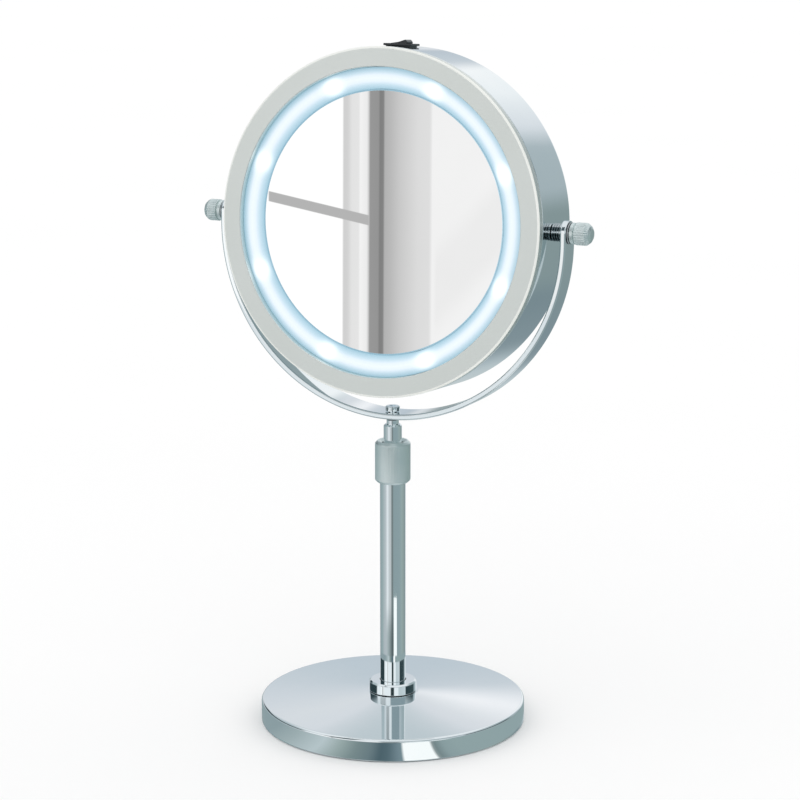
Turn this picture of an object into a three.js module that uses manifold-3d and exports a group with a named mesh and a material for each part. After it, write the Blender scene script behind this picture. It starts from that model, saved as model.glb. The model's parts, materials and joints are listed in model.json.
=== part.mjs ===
// Lighted vanity mirror on a telescopic post.
// Millimetres, +Z up. The origin is the centre of the base's underside, and the mirror faces -Y.

import * as THREE from 'three';
import { mergeVertices } from 'three/addons/utils/BufferGeometryUtils.js';
import Module from 'manifold-3d';

const wasm = await Module();
wasm.setup();

// ---------------------------------------------------------------- driving dimensions

const gap = 0.3; // between pieces that seat on or run in each other
const over = 1; // how far a cutting shape runs past the faces it cuts
const bigSides = 48; // facets of the head and the base
const midSides = 32;
const smallSides = 20; // facets of the post and the small turned pieces
const screwSides = 12;
const wireSides = 8;
const springSides = 6;

const baseRadius = 67.7;
const baseRimHeight = 11.7;
const baseCrownRise = 3.1;
const baseEdgeRound = 1.5;
const baseWall = 1.2;
const baseLift = 0.6; // the shell's edge above the floor
const padThickness = 1.9;
const weightHeadroom = 1.3; // between the weight and the shell above it
const landMargin = 1; // flat land on top of the base, out from the foot collar

const boltRadius = 3; // base bolt shank
const boltHeadRadius = 5.8;
const boltHeadHeight = 3;
const boltWasherRadius = 7;
const boltWasherThickness = 0.9;
const plugHeight = 11;

const tubeRadius = 6.5;
const tubeWall = 1;
const tubeLength = 122.9;
const footWidth = 5.65; // foot collar, out from the tube
const footHeight = 5.6;
const footChamfer = 1;

const rodPlay = 0.9; // between the rod and the tube's bore, taken up by the guide
const rodStemStep = 1.5;
const rodStemHeight = 2.2;
const rodTailHeight = 8;
const rodTailStep = 0.7;
const rodChamfer = 0.8;
const neckShow = 8.6; // rod between the clamp collar and the stem

const collarWall = 2.5; // out from the tube
const collarHeight = 21.5;
const collarThreadHeight = 12.7;
const collarShoulder = 1.2;
const collarLipHeight = 2.3;
const collarLipPlay = 1; // about the rod
const collarConeHeight = 1.6; // taper under the lip, which squeezes the clamp ring
const colletSlot = 1.6;

const swivelWasherThickness = 0.8;
const stemWall = 0.9; // of the rod's stem about the bow screw
const bowScrewHeadRadius = 3.6;
const bowScrewHeadHeight = 2.5;
const bowScrewLength = 14;
const bowScrewChamfer = 0.4;
const bowScrewDishDepth = 1;
const bowScrewDishSlope = 0.6;

const strapThickness = 2.9;
const strapWidth = 15.5; // at the lowest point of the bow
const eyeWidth = 12; // at the two pivots
const bowSideGap = 5.5; // from the drum to the bow
const bowRise = 4.7; // straight stretch from the arc up to the pivots

const headRadius = 86;
const headDepth = 40.6;
const faceForward = 18.4; // from the pivot axis to the front face
const headWall = 1.2;
const headEdgeRound = 2;
const restTilt = -3.7; // degrees, the top leans back
const bezelLip = 4.5;
const bezelSkirt = 6;
const bezelWidth = 9.8;
const bezelEdgeRound = 1;
const bezelInnerWall = 6.5;

const mirrorThickness = 3;
const mirrorBevel = 0.6;
const mirrorRecess = 5.5;
const lightRecess = 3.5; // outer edge of the light ring behind the front face
const lightWidth = 10.4;
const lightBulge = 1.6;
const lightWall = 1.8;
const carrierThickness = 2;
const carrierScrewCount = 3;
const carrierScrewRadius = 1.4;
const carrierScrewHeadRadius = 2.6;
const carrierScrewHeadHeight = 1.6;
const carrierBossRadius = 3.4;
const carrierBossInset = 3.4; // boss centres out from the bezel's inner edge
const carrierScrewLength = 8;

const boardThickness = 1.2;
const lampCount = 8;
const lampSize = 4.6;
const lampThickness = 1.5;

const pivotRadius = 2; // pivot bolt shank
const pivotHeadRadius = 4;
const pivotHeadThickness = 2.6;
const spacerRadius = 4.35;
const spacerGrooveDepth = 0.8;
const spacerGrooveWidth = 0.8;
const pivotWasherRadius = 5.3;
const pivotWasherThickness = 0.6;
const knobRadius = 5.5;
const knobLength = 10.3;
const knobFlange = 1.9;
const knobGroove = 0.6;
const knobDome = 2.6;
const knobFlangeStep = 0.3; // flange below the grip
const knobGrooveStep = 0.9;
const knobTopChamfer = 1.4;
const knobTopHeight = 0.8;

const switchSetBack = 4.6; // centre of the switch behind the pivot axis
const switchFrameLength = 15;
const switchFrameWidth = 10.5;
const switchFrameThickness = 1.1;
const switchFrameLip = 1; // the frame laps the drum by this all round
const switchBodyDepth = 9;
const switchSideWall = 1.5; // about the rocker at its two ends
const switchFrontWall = 0.6; // and at its two sides
const rockerRise = 2.3; // crest above the switch frame
const rockerDepth = 2.6; // part of the rocker below the frame's top
const rockerTilt = 8; // degrees each side of level
const rockerEndStep = 1; // from the rocker's ends to its two crests
const rockerWellClear = 1; // under the rocker when it is pressed

const cellRadius = 7.2;
const cellLength = 49.2;
const cellNubRadius = 2.7;
const cellNubHeight = 1.2;
const cellCount = 3;
const cellSpring = 4.5; // room for the contact springs
const plateInset = 1; // contact plates in from the front and back of the cells
const boxWall = 1.2;
const boxFlange = 3;
const plateThickness = 0.5;
const springRadius = 3.2;
const springWire = 0.7;
const springTurns = 2.5;
const springTaper = 0.35;
const springStepsPerTurn = 10;
const doorThickness = 1.5;
const doorTabHeight = 0.9;
const doorTabLength = 2;
const doorTabInset = 5; // from the door's top edge
const doorPinRadius = 0.5;
const doorPinLength = 1.5;

const leadRadius = 0.8;
const leadSteps = 24;

// ---------------------------------------------------------------- sizes that follow

const tilt = THREE.MathUtils.degToRad(restTilt);
const crownHeight = baseRimHeight + baseCrownRise;
const weightBottom = padThickness + gap;
const weightTop = baseRimHeight - baseWall - weightHeadroom;
const footRadius = tubeRadius + footWidth;
const tubeBottom = crownHeight + gap;
const tubeTop = tubeBottom + tubeLength;
const tubeBore = tubeRadius - tubeWall;
const rodRadius = tubeBore - rodPlay;
const rodTailRadius = rodRadius - rodTailStep;
const rodStemRadius = rodRadius - rodStemStep;
const bowScrewRadius = rodStemRadius - stemWall - gap;
const collarRadius = tubeRadius + collarWall;
const collarLipRadius = rodRadius + collarLipPlay;
const collarBottom = tubeTop - collarThreadHeight;
const collarTop = collarBottom + collarHeight;
const neckTop = collarTop + neckShow;
const stemTop = neckTop + rodStemHeight;
const strapBottom = stemTop + swivelWasherThickness + 2 * gap;
const bowInnerRadius = headRadius + bowSideGap;
const bowOuterRadius = bowInnerRadius + strapThickness;
const bowCentre = strapBottom + bowOuterRadius;
const pivotHeight = bowCentre + bowRise;
const faceY = -faceForward;
const backY = headDepth - faceForward;
const seamY = faceY + bezelLip;
const mirrorY = faceY + mirrorRecess;
const lightY = faceY + lightRecess;
const bezelInnerRadius = headRadius - bezelWidth;
const lightOuterRadius = bezelInnerRadius - gap;
const lightInnerRadius = lightOuterRadius - lightWidth;
const mirrorRadius = lightInnerRadius - gap;
const carrierBossRing = bezelInnerRadius + carrierBossInset;
const plateauY = mirrorY + mirrorThickness + gap;
const boardRadius = (lightInnerRadius + lightOuterRadius) / 2;
const lampPitch = 2 * Math.PI / lampCount;
const boardWidth = lightOuterRadius - lightInnerRadius - 2 * (lightWall + gap);
const carrierY = plateauY + lampThickness + boardThickness + 2 * gap;
const carrierBackY = carrierY + carrierThickness;
const drumBore = headRadius - headWall;
const boxWidth = cellCount * 2 * cellRadius + (cellCount + 1) * gap + 2 * boxWall;
const boxHeight = cellLength + cellNubHeight + cellSpring + 2 * plateThickness + 4 * gap + 2 * boxWall;
const boxBackY = backY - headWall - gap;
const boxDepth = boxWall + 2 * cellRadius + 3 * gap;
const boxFrontY = boxBackY - boxDepth;
const doorWidth = boxWidth - 2 * boxWall - 2 * gap;
const doorHeight = boxHeight - 2 * boxWall - 2 * gap;
const doorFoot = -doorHeight / 2;
const doorMidY = backY - doorThickness / 2;
const cellY = boxFrontY + boxWall + gap + cellRadius;
const switchTop = headRadius + gap + switchFrameThickness;
const switchBodyLength = switchFrameLength - 2 * switchFrameLip;
const switchBodyWidth = switchFrameWidth - 2 * switchFrameLip;
const rockerLength = switchBodyLength - 2 * switchSideWall;
const rockerWidth = switchBodyWidth - 2 * (switchFrontWall + gap);
const rockerPivot = switchTop - rockerDepth / 2;
const knobStart = bowOuterRadius + pivotWasherThickness + 2 * gap;

// ---------------------------------------------------------------- shape helpers

function toSolid(geometry) {
  const bare = geometry.clone();
  bare.deleteAttribute('normal');
  bare.deleteAttribute('uv');
  const merged = mergeVertices(bare, 1e-4);
  const corners = merged.index.array;
  const triangles = [];
  for (let i = 0; i < corners.length; i += 3) {
    const [a, b, c] = [corners[i], corners[i + 1], corners[i + 2]];
    if (a !== b && b !== c && c !== a) triangles.push(a, b, c);
  }
  return new wasm.Manifold(new wasm.Mesh({
    numProp: 3,
    vertProperties: new Float32Array(merged.attributes.position.array),
    triVerts: new Uint32Array(triangles),
  }));
}

function toGeometry(solid) {
  const mesh = solid.getMesh();
  const geometry = new THREE.BufferGeometry();
  geometry.setAttribute('position', new THREE.BufferAttribute(new Float32Array(mesh.vertProperties), 3));
  geometry.setIndex(new THREE.BufferAttribute(new Uint32Array(mesh.triVerts), 1));
  geometry.computeVertexNormals();
  return geometry;
}

function cut(geometry, ...tools) {
  return toGeometry(tools.reduce((solid, tool) => solid.subtract(toSolid(tool)), toSolid(geometry)));
}

function join(geometry, ...others) {
  return toGeometry(others.reduce((solid, other) => solid.add(toSolid(other)), toSolid(geometry)));
}

function common(geometry, other) {
  return toGeometry(toSolid(geometry).intersect(toSolid(other)));
}

// A turned piece about the Y axis: the profile holds [radius, y] pairs.
function turned(profile, sides) {
  const points = profile.map(([radius, height]) => new THREE.Vector2(radius, height));
  if (THREE.ShapeUtils.area(points) < 0) points.reverse();
  const first = points[0];
  if (Math.min(...points.map((point) => point.x)) > 0) {
    points.push(first.clone());
  } else {
    while (!(points[0].x === 0 && points[points.length - 1].x === 0)) points.push(points.shift());
  }
  return new THREE.LatheGeometry(points, sides);
}

// The same about the Z axis: the profile holds [radius, z] pairs.
function upright(profile, sides) {
  return turned(profile, sides).rotateX(Math.PI / 2);
}

// The same along the X axis, towards +X when side is 1 and towards -X when it is -1.
function sideways(profile, sides, side) {
  return turned(profile, sides).rotateZ(-side * Math.PI / 2);
}

function ring(inner, outer, low, high) {
  return [[inner, low], [outer, low], [outer, high], [inner, high]];
}

function disc(radius, low, high) {
  return [[0, low], [radius, low], [radius, high], [0, high]];
}

function box(width, depth, height, x, y, z) {
  return new THREE.BoxGeometry(width, depth, height).translate(x, y, z);
}

function pipe(points, radius, sides, steps) {
  const section = new THREE.Shape();
  section.absarc(0, 0, radius, 0, 2 * Math.PI);
  return new THREE.ExtrudeGeometry(section, {
    steps,
    curveSegments: sides / 2,
    bevelEnabled: false,
    extrudePath: new THREE.CatmullRomCurve3(points.map((point) => new THREE.Vector3(...point))),
  });
}

// ---------------------------------------------------------------- materials and parts

const finishes = {
  chrome: { color: 0xc4ccd0, roughness: 0.12, metalness: 1 },
  satin: { color: 0xcdcdcb, roughness: 0.45, metalness: 0.8 },
  steel: { color: 0xa9adb0, roughness: 0.35, metalness: 1 },
  brass: { color: 0xb9954e, roughness: 0.35, metalness: 1 },
  castIron: { color: 0x3d3e40, roughness: 0.8, metalness: 0.4 },
  rubber: { color: 0x1c1c1e, roughness: 0.9, metalness: 0 },
  black: { color: 0x17191c, roughness: 0.4, metalness: 0 },
  silver: { color: 0x9ea3a8, roughness: 0.3, metalness: 0.4 },
  white: { color: 0xe9eaea, roughness: 0.5, metalness: 0 },
  frosted: { color: 0xe8f3fb, roughness: 0.35, metalness: 0 },
  mirror: { color: 0xf2f5f6, roughness: 0.02, metalness: 1 },
  board: { color: 0xdfe5df, roughness: 0.6, metalness: 0 },
  lamp: { color: 0xfff6d8, roughness: 0.4, metalness: 0 },
  cell: { color: 0x2f6f6b, roughness: 0.35, metalness: 0.2 },
  red: { color: 0xb03028, roughness: 0.6, metalness: 0 },
};

function part(name, geometry, finish) {
  const mesh = new THREE.Mesh(geometry, new THREE.MeshStandardMaterial({ ...finishes[finish] }));
  mesh.name = name;
  return mesh;
}

// ---------------------------------------------------------------- base and post

function makeBase() {
  const base = new THREE.Group();
  const landRadius = footRadius + landMargin;
  const shellTop = baseRimHeight - baseEdgeRound;
  const shoulder = baseEdgeRound * Math.SQRT1_2;
  base.add(part('base_shell', upright([
    [boltRadius + gap, crownHeight],
    [landRadius, crownHeight],
    [baseRadius - baseEdgeRound, baseRimHeight],
    [baseRadius - baseEdgeRound + shoulder, shellTop + shoulder],
    [baseRadius, shellTop],
    [baseRadius, baseLift],
    [baseRadius - baseWall, baseLift],
    [baseRadius - baseWall, shellTop - gap],
    [baseRadius - baseWall - baseEdgeRound, baseRimHeight - baseWall],
    [landRadius, crownHeight - baseWall],
    [boltRadius + gap, crownHeight - baseWall],
  ], bigSides), 'chrome'));

  const weightRadius = baseRadius - baseWall - gap;
  const hubTop = crownHeight - baseWall - gap;
  const washerTop = weightBottom + boltHeadHeight + boltWasherThickness + 2 * gap;
  base.add(part('base_weight', upright([
    [boltRadius + gap, washerTop],
    [boltWasherRadius + gap, washerTop],
    [boltWasherRadius + gap, weightBottom],
    [weightRadius, weightBottom],
    [weightRadius, weightTop - gap],
    [landRadius, weightTop],
    [footRadius, hubTop],
    [boltRadius + gap, hubTop],
  ], midSides), 'castIron'));

  base.add(part('base_pad', upright(disc(weightRadius, 0, padThickness), bigSides), 'rubber'));

  const headTop = weightBottom + boltHeadHeight;
  const plugTop = tubeBottom + gap + plugHeight;
  base.add(part('base_bolt', join(
    upright(disc(boltHeadRadius, weightBottom, headTop), 6),
    upright(disc(boltRadius, headTop - gap, plugTop - gap), smallSides),
  ), 'steel'));
  base.add(part('base_washer', upright(
    ring(boltRadius + gap, boltWasherRadius, headTop + gap, headTop + gap + boltWasherThickness),
    smallSides,
  ), 'steel'));

  base.add(part('foot_collar', upright([
    [tubeRadius + gap, tubeBottom],
    [footRadius, tubeBottom],
    [footRadius, tubeBottom + footHeight - footChamfer],
    [footRadius - footChamfer, tubeBottom + footHeight],
    [tubeRadius + gap, tubeBottom + footHeight],
  ], smallSides), 'chrome'));
  const tube = ring(tubeBore, tubeRadius, tubeBottom, tubeTop);
  base.add(part('outer_tube', upright(tube, smallSides), 'chrome'));
  base.add(part('tube_plug', upright(
    ring(boltRadius + gap, tubeBore - gap, tubeBottom + gap, plugTop),
    smallSides,
  ), 'brass'));
  return base;
}

function makeClamp() {
  const clamp = new THREE.Group();
  const coneTop = collarTop - collarLipHeight;
  const coneBottom = coneTop - collarConeHeight;
  const collet = upright([
    [rodRadius + gap, tubeTop + gap],
    [tubeRadius, tubeTop + gap],
    [tubeRadius, coneBottom - gap],
    [collarLipRadius - gap, coneTop - gap],
    [rodRadius + gap, coneTop - gap],
  ], smallSides);
  const slot = box(2 * tubeRadius, colletSlot, 2 * collarHeight, tubeRadius, 0, coneTop);
  clamp.add(part('clamp_ring', cut(collet, slot), 'white'));

  const threadRadius = tubeRadius + gap;
  clamp.add(part('clamp_collar', upright([
    [threadRadius, collarBottom],
    [collarRadius - collarShoulder, collarBottom],
    [collarRadius, collarBottom + collarShoulder],
    [collarRadius, collarTop - collarShoulder],
    [collarRadius - collarShoulder, collarTop],
    [collarLipRadius, collarTop - collarLipHeight / 2],
    [collarLipRadius, coneTop],
    [threadRadius, coneBottom],
  ], smallSides), 'chrome'));
  return clamp;
}

function makeRod() {
  const rod = new THREE.Group();
  const rodBottom = tubeBottom + plugHeight + 4 * gap;
  const screwEnd = stemTop - bowScrewLength;
  rod.add(part('inner_rod', cut(upright([
    [0, rodBottom],
    [rodTailRadius, rodBottom],
    [rodTailRadius, rodBottom + rodTailHeight],
    [rodRadius, rodBottom + rodTailHeight],
    [rodRadius, neckTop - rodChamfer],
    [rodRadius - rodChamfer, neckTop],
    [rodStemRadius, neckTop],
    [rodStemRadius, stemTop],
    [0, stemTop],
  ], smallSides), upright(disc(bowScrewRadius + gap, screwEnd, stemTop + gap), smallSides)), 'chrome'));
  rod.add(part('rod_guide', upright(
    ring(rodTailRadius + gap, tubeBore - gap, rodBottom, rodBottom + rodTailHeight - gap),
    smallSides,
  ), 'white'));
  rod.add(part('swivel_washer', upright(
    ring(bowScrewRadius + gap, rodStemRadius, stemTop + gap, stemTop + gap + swivelWasherThickness),
    smallSides,
  ), 'black'));

  const headBottom = strapBottom + strapThickness + gap;
  const headTop = headBottom + bowScrewHeadHeight;
  const dishRadius = bowScrewHeadRadius / 2;
  rod.add(part('bow_screw', upright([
    [0, screwEnd + gap],
    [bowScrewRadius, screwEnd + gap],
    [bowScrewRadius, headBottom],
    [bowScrewHeadRadius, headBottom],
    [bowScrewHeadRadius, headTop - bowScrewChamfer],
    [bowScrewHeadRadius - bowScrewChamfer, headTop],
    [dishRadius + bowScrewDishSlope, headTop],
    [dishRadius, headTop - bowScrewDishDepth],
    [0, headTop - bowScrewDishDepth],
  ], smallSides), 'chrome'));
  return rod;
}

// ---------------------------------------------------------------- bow

function bowOutline() {
  const top = pivotHeight + eyeWidth / 2;
  const outline = new THREE.Shape();
  outline.moveTo(-bowOuterRadius, top);
  outline.lineTo(-bowOuterRadius, bowCentre);
  outline.absarc(0, bowCentre, bowOuterRadius, Math.PI, 2 * Math.PI);
  outline.lineTo(bowOuterRadius, top);
  outline.lineTo(bowInnerRadius, top);
  outline.lineTo(bowInnerRadius, bowCentre);
  outline.absarc(0, bowCentre, bowInnerRadius, 2 * Math.PI, Math.PI, true);
  outline.lineTo(-bowInnerRadius, top);
  outline.closePath();
  return outline;
}

function bowSideOutline() {
  const half = strapWidth / 2;
  const eye = eyeWidth / 2;
  const low = strapBottom - gap;
  const outline = new THREE.Shape();
  outline.moveTo(-half, low);
  outline.lineTo(half, low);
  outline.lineTo(eye, pivotHeight);
  outline.absarc(0, pivotHeight, eye, 0, Math.PI);
  outline.closePath();
  return outline;
}

function makeBow() {
  const strap = new THREE.ExtrudeGeometry(bowOutline(), {
    depth: strapWidth,
    curveSegments: 36,
    bevelEnabled: false,
  }).translate(0, 0, -strapWidth / 2).rotateX(Math.PI / 2);
  const reach = 2 * (bowOuterRadius + over);
  const side = new THREE.ExtrudeGeometry(bowSideOutline(), {
    depth: reach,
    curveSegments: 8,
    bevelEnabled: false,
  }).rotateX(Math.PI / 2).rotateZ(Math.PI / 2).translate(-reach / 2, 0, 0);
  const eyeHole = turned(disc(pivotRadius + gap, -reach / 2, reach / 2), smallSides)
    .rotateZ(Math.PI / 2).translate(0, 0, pivotHeight);
  const screwHole = upright(disc(bowScrewRadius + gap, strapBottom - over, bowCentre), smallSides);
  return part('bow', cut(common(strap, side), eyeHole, screwHole), 'chrome');
}

// ---------------------------------------------------------------- head, in its own frame: pivot axis on X

function makeDrum() {
  const round = headEdgeRound * Math.SQRT1_2;
  const turn = headRadius - headEdgeRound;
  const drum = turned([
    [0, backY],
    [turn, backY],
    [turn + round, backY - headEdgeRound + round],
    [headRadius, backY - headEdgeRound],
    [headRadius, seamY + gap],
    [drumBore, seamY + gap],
    [drumBore, backY - headWall],
    [0, backY - headWall],
  ], bigSides);
  const bossLength = backY - headWall - carrierBackY;
  const tools = [];
  let body = drum;
  for (let i = 0; i < carrierScrewCount; i += 1) {
    const [x, z] = carrierScrewPlace(i);
    const bossProfile = disc(carrierBossRadius, carrierBackY + gap, carrierBackY + bossLength + gap);
    const boss = turned(bossProfile, smallSides).translate(x, 0, z);
    body = join(body, boss);
    tools.push(turned(
      disc(carrierScrewRadius + gap, carrierBackY - gap, carrierBackY + carrierScrewLength),
      smallSides,
    ).translate(x, 0, z));
  }
  tools.push(sideways(disc(pivotRadius + gap, -headRadius - over, headRadius + over), smallSides, 1));
  tools.push(box(
    switchBodyLength + 2 * gap,
    switchBodyWidth + 2 * gap,
    4 * headWall,
    0,
    switchSetBack,
    headRadius,
  ));
  tools.push(box(doorWidth + 2 * gap, 4 * headWall, doorHeight + 2 * gap, 0, backY, 0));
  const pinSlotWidth = doorWidth + 2 * (doorPinLength + gap);
  const pinSlotHeight = 2 * (doorPinRadius + gap);
  tools.push(box(pinSlotWidth, 4 * headWall, pinSlotHeight, 0, backY, doorFoot + doorThickness / 2));
  return part('drum_housing', cut(body, ...tools), 'chrome');
}

function carrierScrewPlace(index) {
  const angle = Math.PI / 2 + Math.PI / 3 + index * 2 * Math.PI / carrierScrewCount;
  return [carrierBossRing * Math.cos(angle), carrierBossRing * Math.sin(angle)];
}

function makeBezel() {
  return part('front_bezel', turned([
    [bezelInnerRadius, faceY],
    [headRadius - bezelEdgeRound, faceY],
    [headRadius, faceY + bezelEdgeRound],
    [headRadius, seamY],
    [drumBore - gap, seamY],
    [drumBore - gap, seamY + bezelSkirt],
    [drumBore - gap - headWall, seamY + bezelSkirt],
    [drumBore - gap - headWall, faceY + headWall],
    [bezelInnerRadius + headWall, faceY + headWall],
    [bezelInnerRadius + headWall, faceY + bezelInnerWall],
    [bezelInnerRadius, faceY + bezelInnerWall],
  ], bigSides), 'satin');
}

// The light ring's crown leans from its outer edge down to the mirror and bulges between them.
function makeLightRing() {
  const steps = 4;
  const front = [];
  const back = [];
  for (let i = 0; i <= steps; i += 1) {
    const share = i / steps;
    const bulge = lightBulge * Math.sin(Math.PI * share);
    const y = mirrorY + (lightY - mirrorY) * share - bulge;
    front.push([lightInnerRadius + (lightOuterRadius - lightInnerRadius) * share, y]);
    const inset = lightWall + (lightOuterRadius - lightInnerRadius - 2 * lightWall) * share;
    back.unshift([lightInnerRadius + inset, y + lightWall]);
  }
  const rear = carrierY - gap;
  return part('light_ring', turned([
    ...front,
    [lightOuterRadius, rear],
    [lightOuterRadius - lightWall, rear],
    ...back,
    [lightInnerRadius + lightWall, rear],
    [lightInnerRadius, rear],
  ], bigSides), 'frosted');
}

function makeMirrorAndCarrier() {
  const group = new THREE.Group();
  group.add(part('mirror_glass', turned([
    [0, mirrorY],
    [mirrorRadius - mirrorBevel, mirrorY],
    [mirrorRadius, mirrorY + mirrorBevel],
    [mirrorRadius, mirrorY + mirrorThickness],
    [0, mirrorY + mirrorThickness],
  ], bigSides), 'mirror'));

  const rim = drumBore - 2 * headWall - gap;
  const inner = mirrorRadius - carrierThickness;
  const plate = turned([
    [0, plateauY],
    [mirrorRadius, plateauY],
    [mirrorRadius, carrierY],
    [rim, carrierY],
    [rim, carrierBackY],
    [inner, carrierBackY],
    [inner, plateauY + carrierThickness],
    [0, plateauY + carrierThickness],
  ], midSides);
  const holes = [];
  for (let i = 0; i < carrierScrewCount; i += 1) {
    const [x, z] = carrierScrewPlace(i);
    const hole = turned(disc(carrierScrewRadius + gap, carrierY - over, carrierBackY + over), smallSides);
    holes.push(hole.translate(x, 0, z));
    group.add(part(`carrier_screw_${i + 1}`, turned([
      [0, carrierY - gap - carrierScrewHeadHeight],
      [carrierScrewHeadRadius, carrierY - gap - carrierScrewHeadHeight],
      [carrierScrewHeadRadius, carrierY - gap],
      [carrierScrewRadius, carrierY - gap],
      [carrierScrewRadius, carrierBackY + carrierScrewLength - gap],
      [0, carrierBackY + carrierScrewLength - gap],
    ], screwSides).translate(x, 0, z), 'steel'));
  }
  const leadHole = turned(disc(2 * leadRadius + gap, carrierY - over, carrierBackY + over), smallSides);
  holes.push(leadHole.clone().translate(...leadPort(1)));
  holes.push(leadHole.clone().translate(...leadPort(-1)));
  group.add(part('carrier_plate', cut(plate, ...holes), 'white'));
  return group;
}

// Where a lead passes the carrier plate on its way to the lamp board, behind one of the two upper lamps.
function leadPort(side) {
  const angle = side * lampPitch / 2;
  return [boardRadius * Math.sin(angle), 0, boardRadius * Math.cos(angle)];
}

function makeLamps() {
  const group = new THREE.Group();
  const boardBack = carrierY - gap;
  const boardFront = boardBack - boardThickness;
  group.add(part('lamp_board', turned(
    ring(boardRadius - boardWidth / 2, boardRadius + boardWidth / 2, boardFront, boardBack),
    bigSides,
  ), 'board'));
  for (let i = 0; i < lampCount; i += 1) {
    const lamp = new THREE.BoxGeometry(lampSize, lampThickness, lampSize);
    lamp.translate(0, boardFront - gap - lampThickness / 2, boardRadius);
    lamp.rotateY((i + 0.5) * lampPitch);
    group.add(part(`lamp_${i + 1}`, lamp, 'lamp'));
  }
  return group;
}

// ---------------------------------------------------------------- power

function makeBatteryBox() {
  const group = new THREE.Group();
  const outer = box(boxWidth, boxDepth, boxHeight, 0, (boxFrontY + boxBackY) / 2, 0);
  const flange = box(
    boxWidth + 2 * boxFlange,
    boxWall,
    boxHeight + 2 * boxFlange,
    0,
    boxBackY - boxWall / 2,
    0,
  );
  const hollow = box(
    boxWidth - 2 * boxWall,
    boxDepth,
    boxHeight - 2 * boxWall,
    0,
    (boxFrontY + boxBackY) / 2 + boxWall,
    0,
  );
  group.add(part('battery_box', cut(join(outer, flange), hollow), 'white'));

  const inside = boxHeight / 2 - boxWall;
  const pitch = 2 * cellRadius + gap;
  const plateWidth = boxWidth - 2 * boxWall - 2 * gap;
  const plateDepth = 2 * (cellRadius - plateInset);
  for (const [name, end] of [['upper', 1], ['lower', -1]]) {
    const z = end * (inside - gap - plateThickness / 2);
    const plate = box(plateWidth, plateDepth, plateThickness, 0, cellY, z);
    group.add(part(`contact_plate_${name}`, plate, 'steel'));
  }

  for (let i = 0; i < cellCount; i += 1) {
    const x = (i - (cellCount - 1) / 2) * pitch;
    const up = i % 2 === 0 ? 1 : -1; // the cells lie head to tail
    const nubEnd = inside - 2 * gap - plateThickness;
    const cell = upright([
      [0, nubEnd - cellNubHeight - cellLength],
      [cellRadius, nubEnd - cellNubHeight - cellLength],
      [cellRadius, nubEnd - cellNubHeight],
      [cellNubRadius, nubEnd - cellNubHeight],
      [cellNubRadius, nubEnd],
      [0, nubEnd],
    ], smallSides);
    if (up < 0) cell.rotateX(Math.PI);
    group.add(part(`cell_${i + 1}`, cell.translate(x, cellY, 0), 'cell'));

    const springFoot = -inside + gap + plateThickness + gap + springWire / 2;
    const springHead = nubEnd - cellNubHeight - cellLength - gap - springWire / 2;
    const turns = [];
    const count = Math.round(springTurns * springStepsPerTurn);
    for (let step = 0; step <= count; step += 1) {
      const share = step / count;
      const angle = share * springTurns * 2 * Math.PI;
      const radius = springRadius * (1 - springTaper * share);
      const z = springFoot + (springHead - springFoot) * share;
      turns.push([radius * Math.cos(angle), radius * Math.sin(angle), z]);
    }
    const spring = pipe(turns, springWire / 2, springSides, count);
    if (up < 0) spring.rotateX(Math.PI);
    group.add(part(`contact_spring_${i + 1}`, spring.translate(x, cellY, 0), 'steel'));
  }
  return group;
}

function makeBatteryDoor() {
  const half = doorThickness / 2;
  const panel = new THREE.Shape();
  panel.absarc(0, half, half, -Math.PI, 0);
  panel.lineTo(half, doorHeight);
  panel.lineTo(-half, doorHeight);
  panel.closePath();
  const slab = new THREE.ExtrudeGeometry(panel, { depth: doorWidth, curveSegments: 8, bevelEnabled: false })
    .translate(0, 0, -doorWidth / 2)
    .rotateX(Math.PI / 2)
    .rotateZ(Math.PI / 2)
    .translate(0, doorMidY, doorFoot);
  const pinReach = doorWidth / 2 + doorPinLength;
  const pins = turned(disc(doorPinRadius, -pinReach, pinReach), screwSides)
    .rotateZ(Math.PI / 2)
    .translate(0, doorMidY, doorFoot + half);
  const tab = box(
    doorWidth / 3,
    doorTabHeight + half,
    doorTabLength,
    0,
    backY + (doorTabHeight - half) / 2,
    doorHeight / 2 - doorTabInset,
  );
  return part('battery_door', join(slab, pins, tab), 'silver');
}

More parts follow.
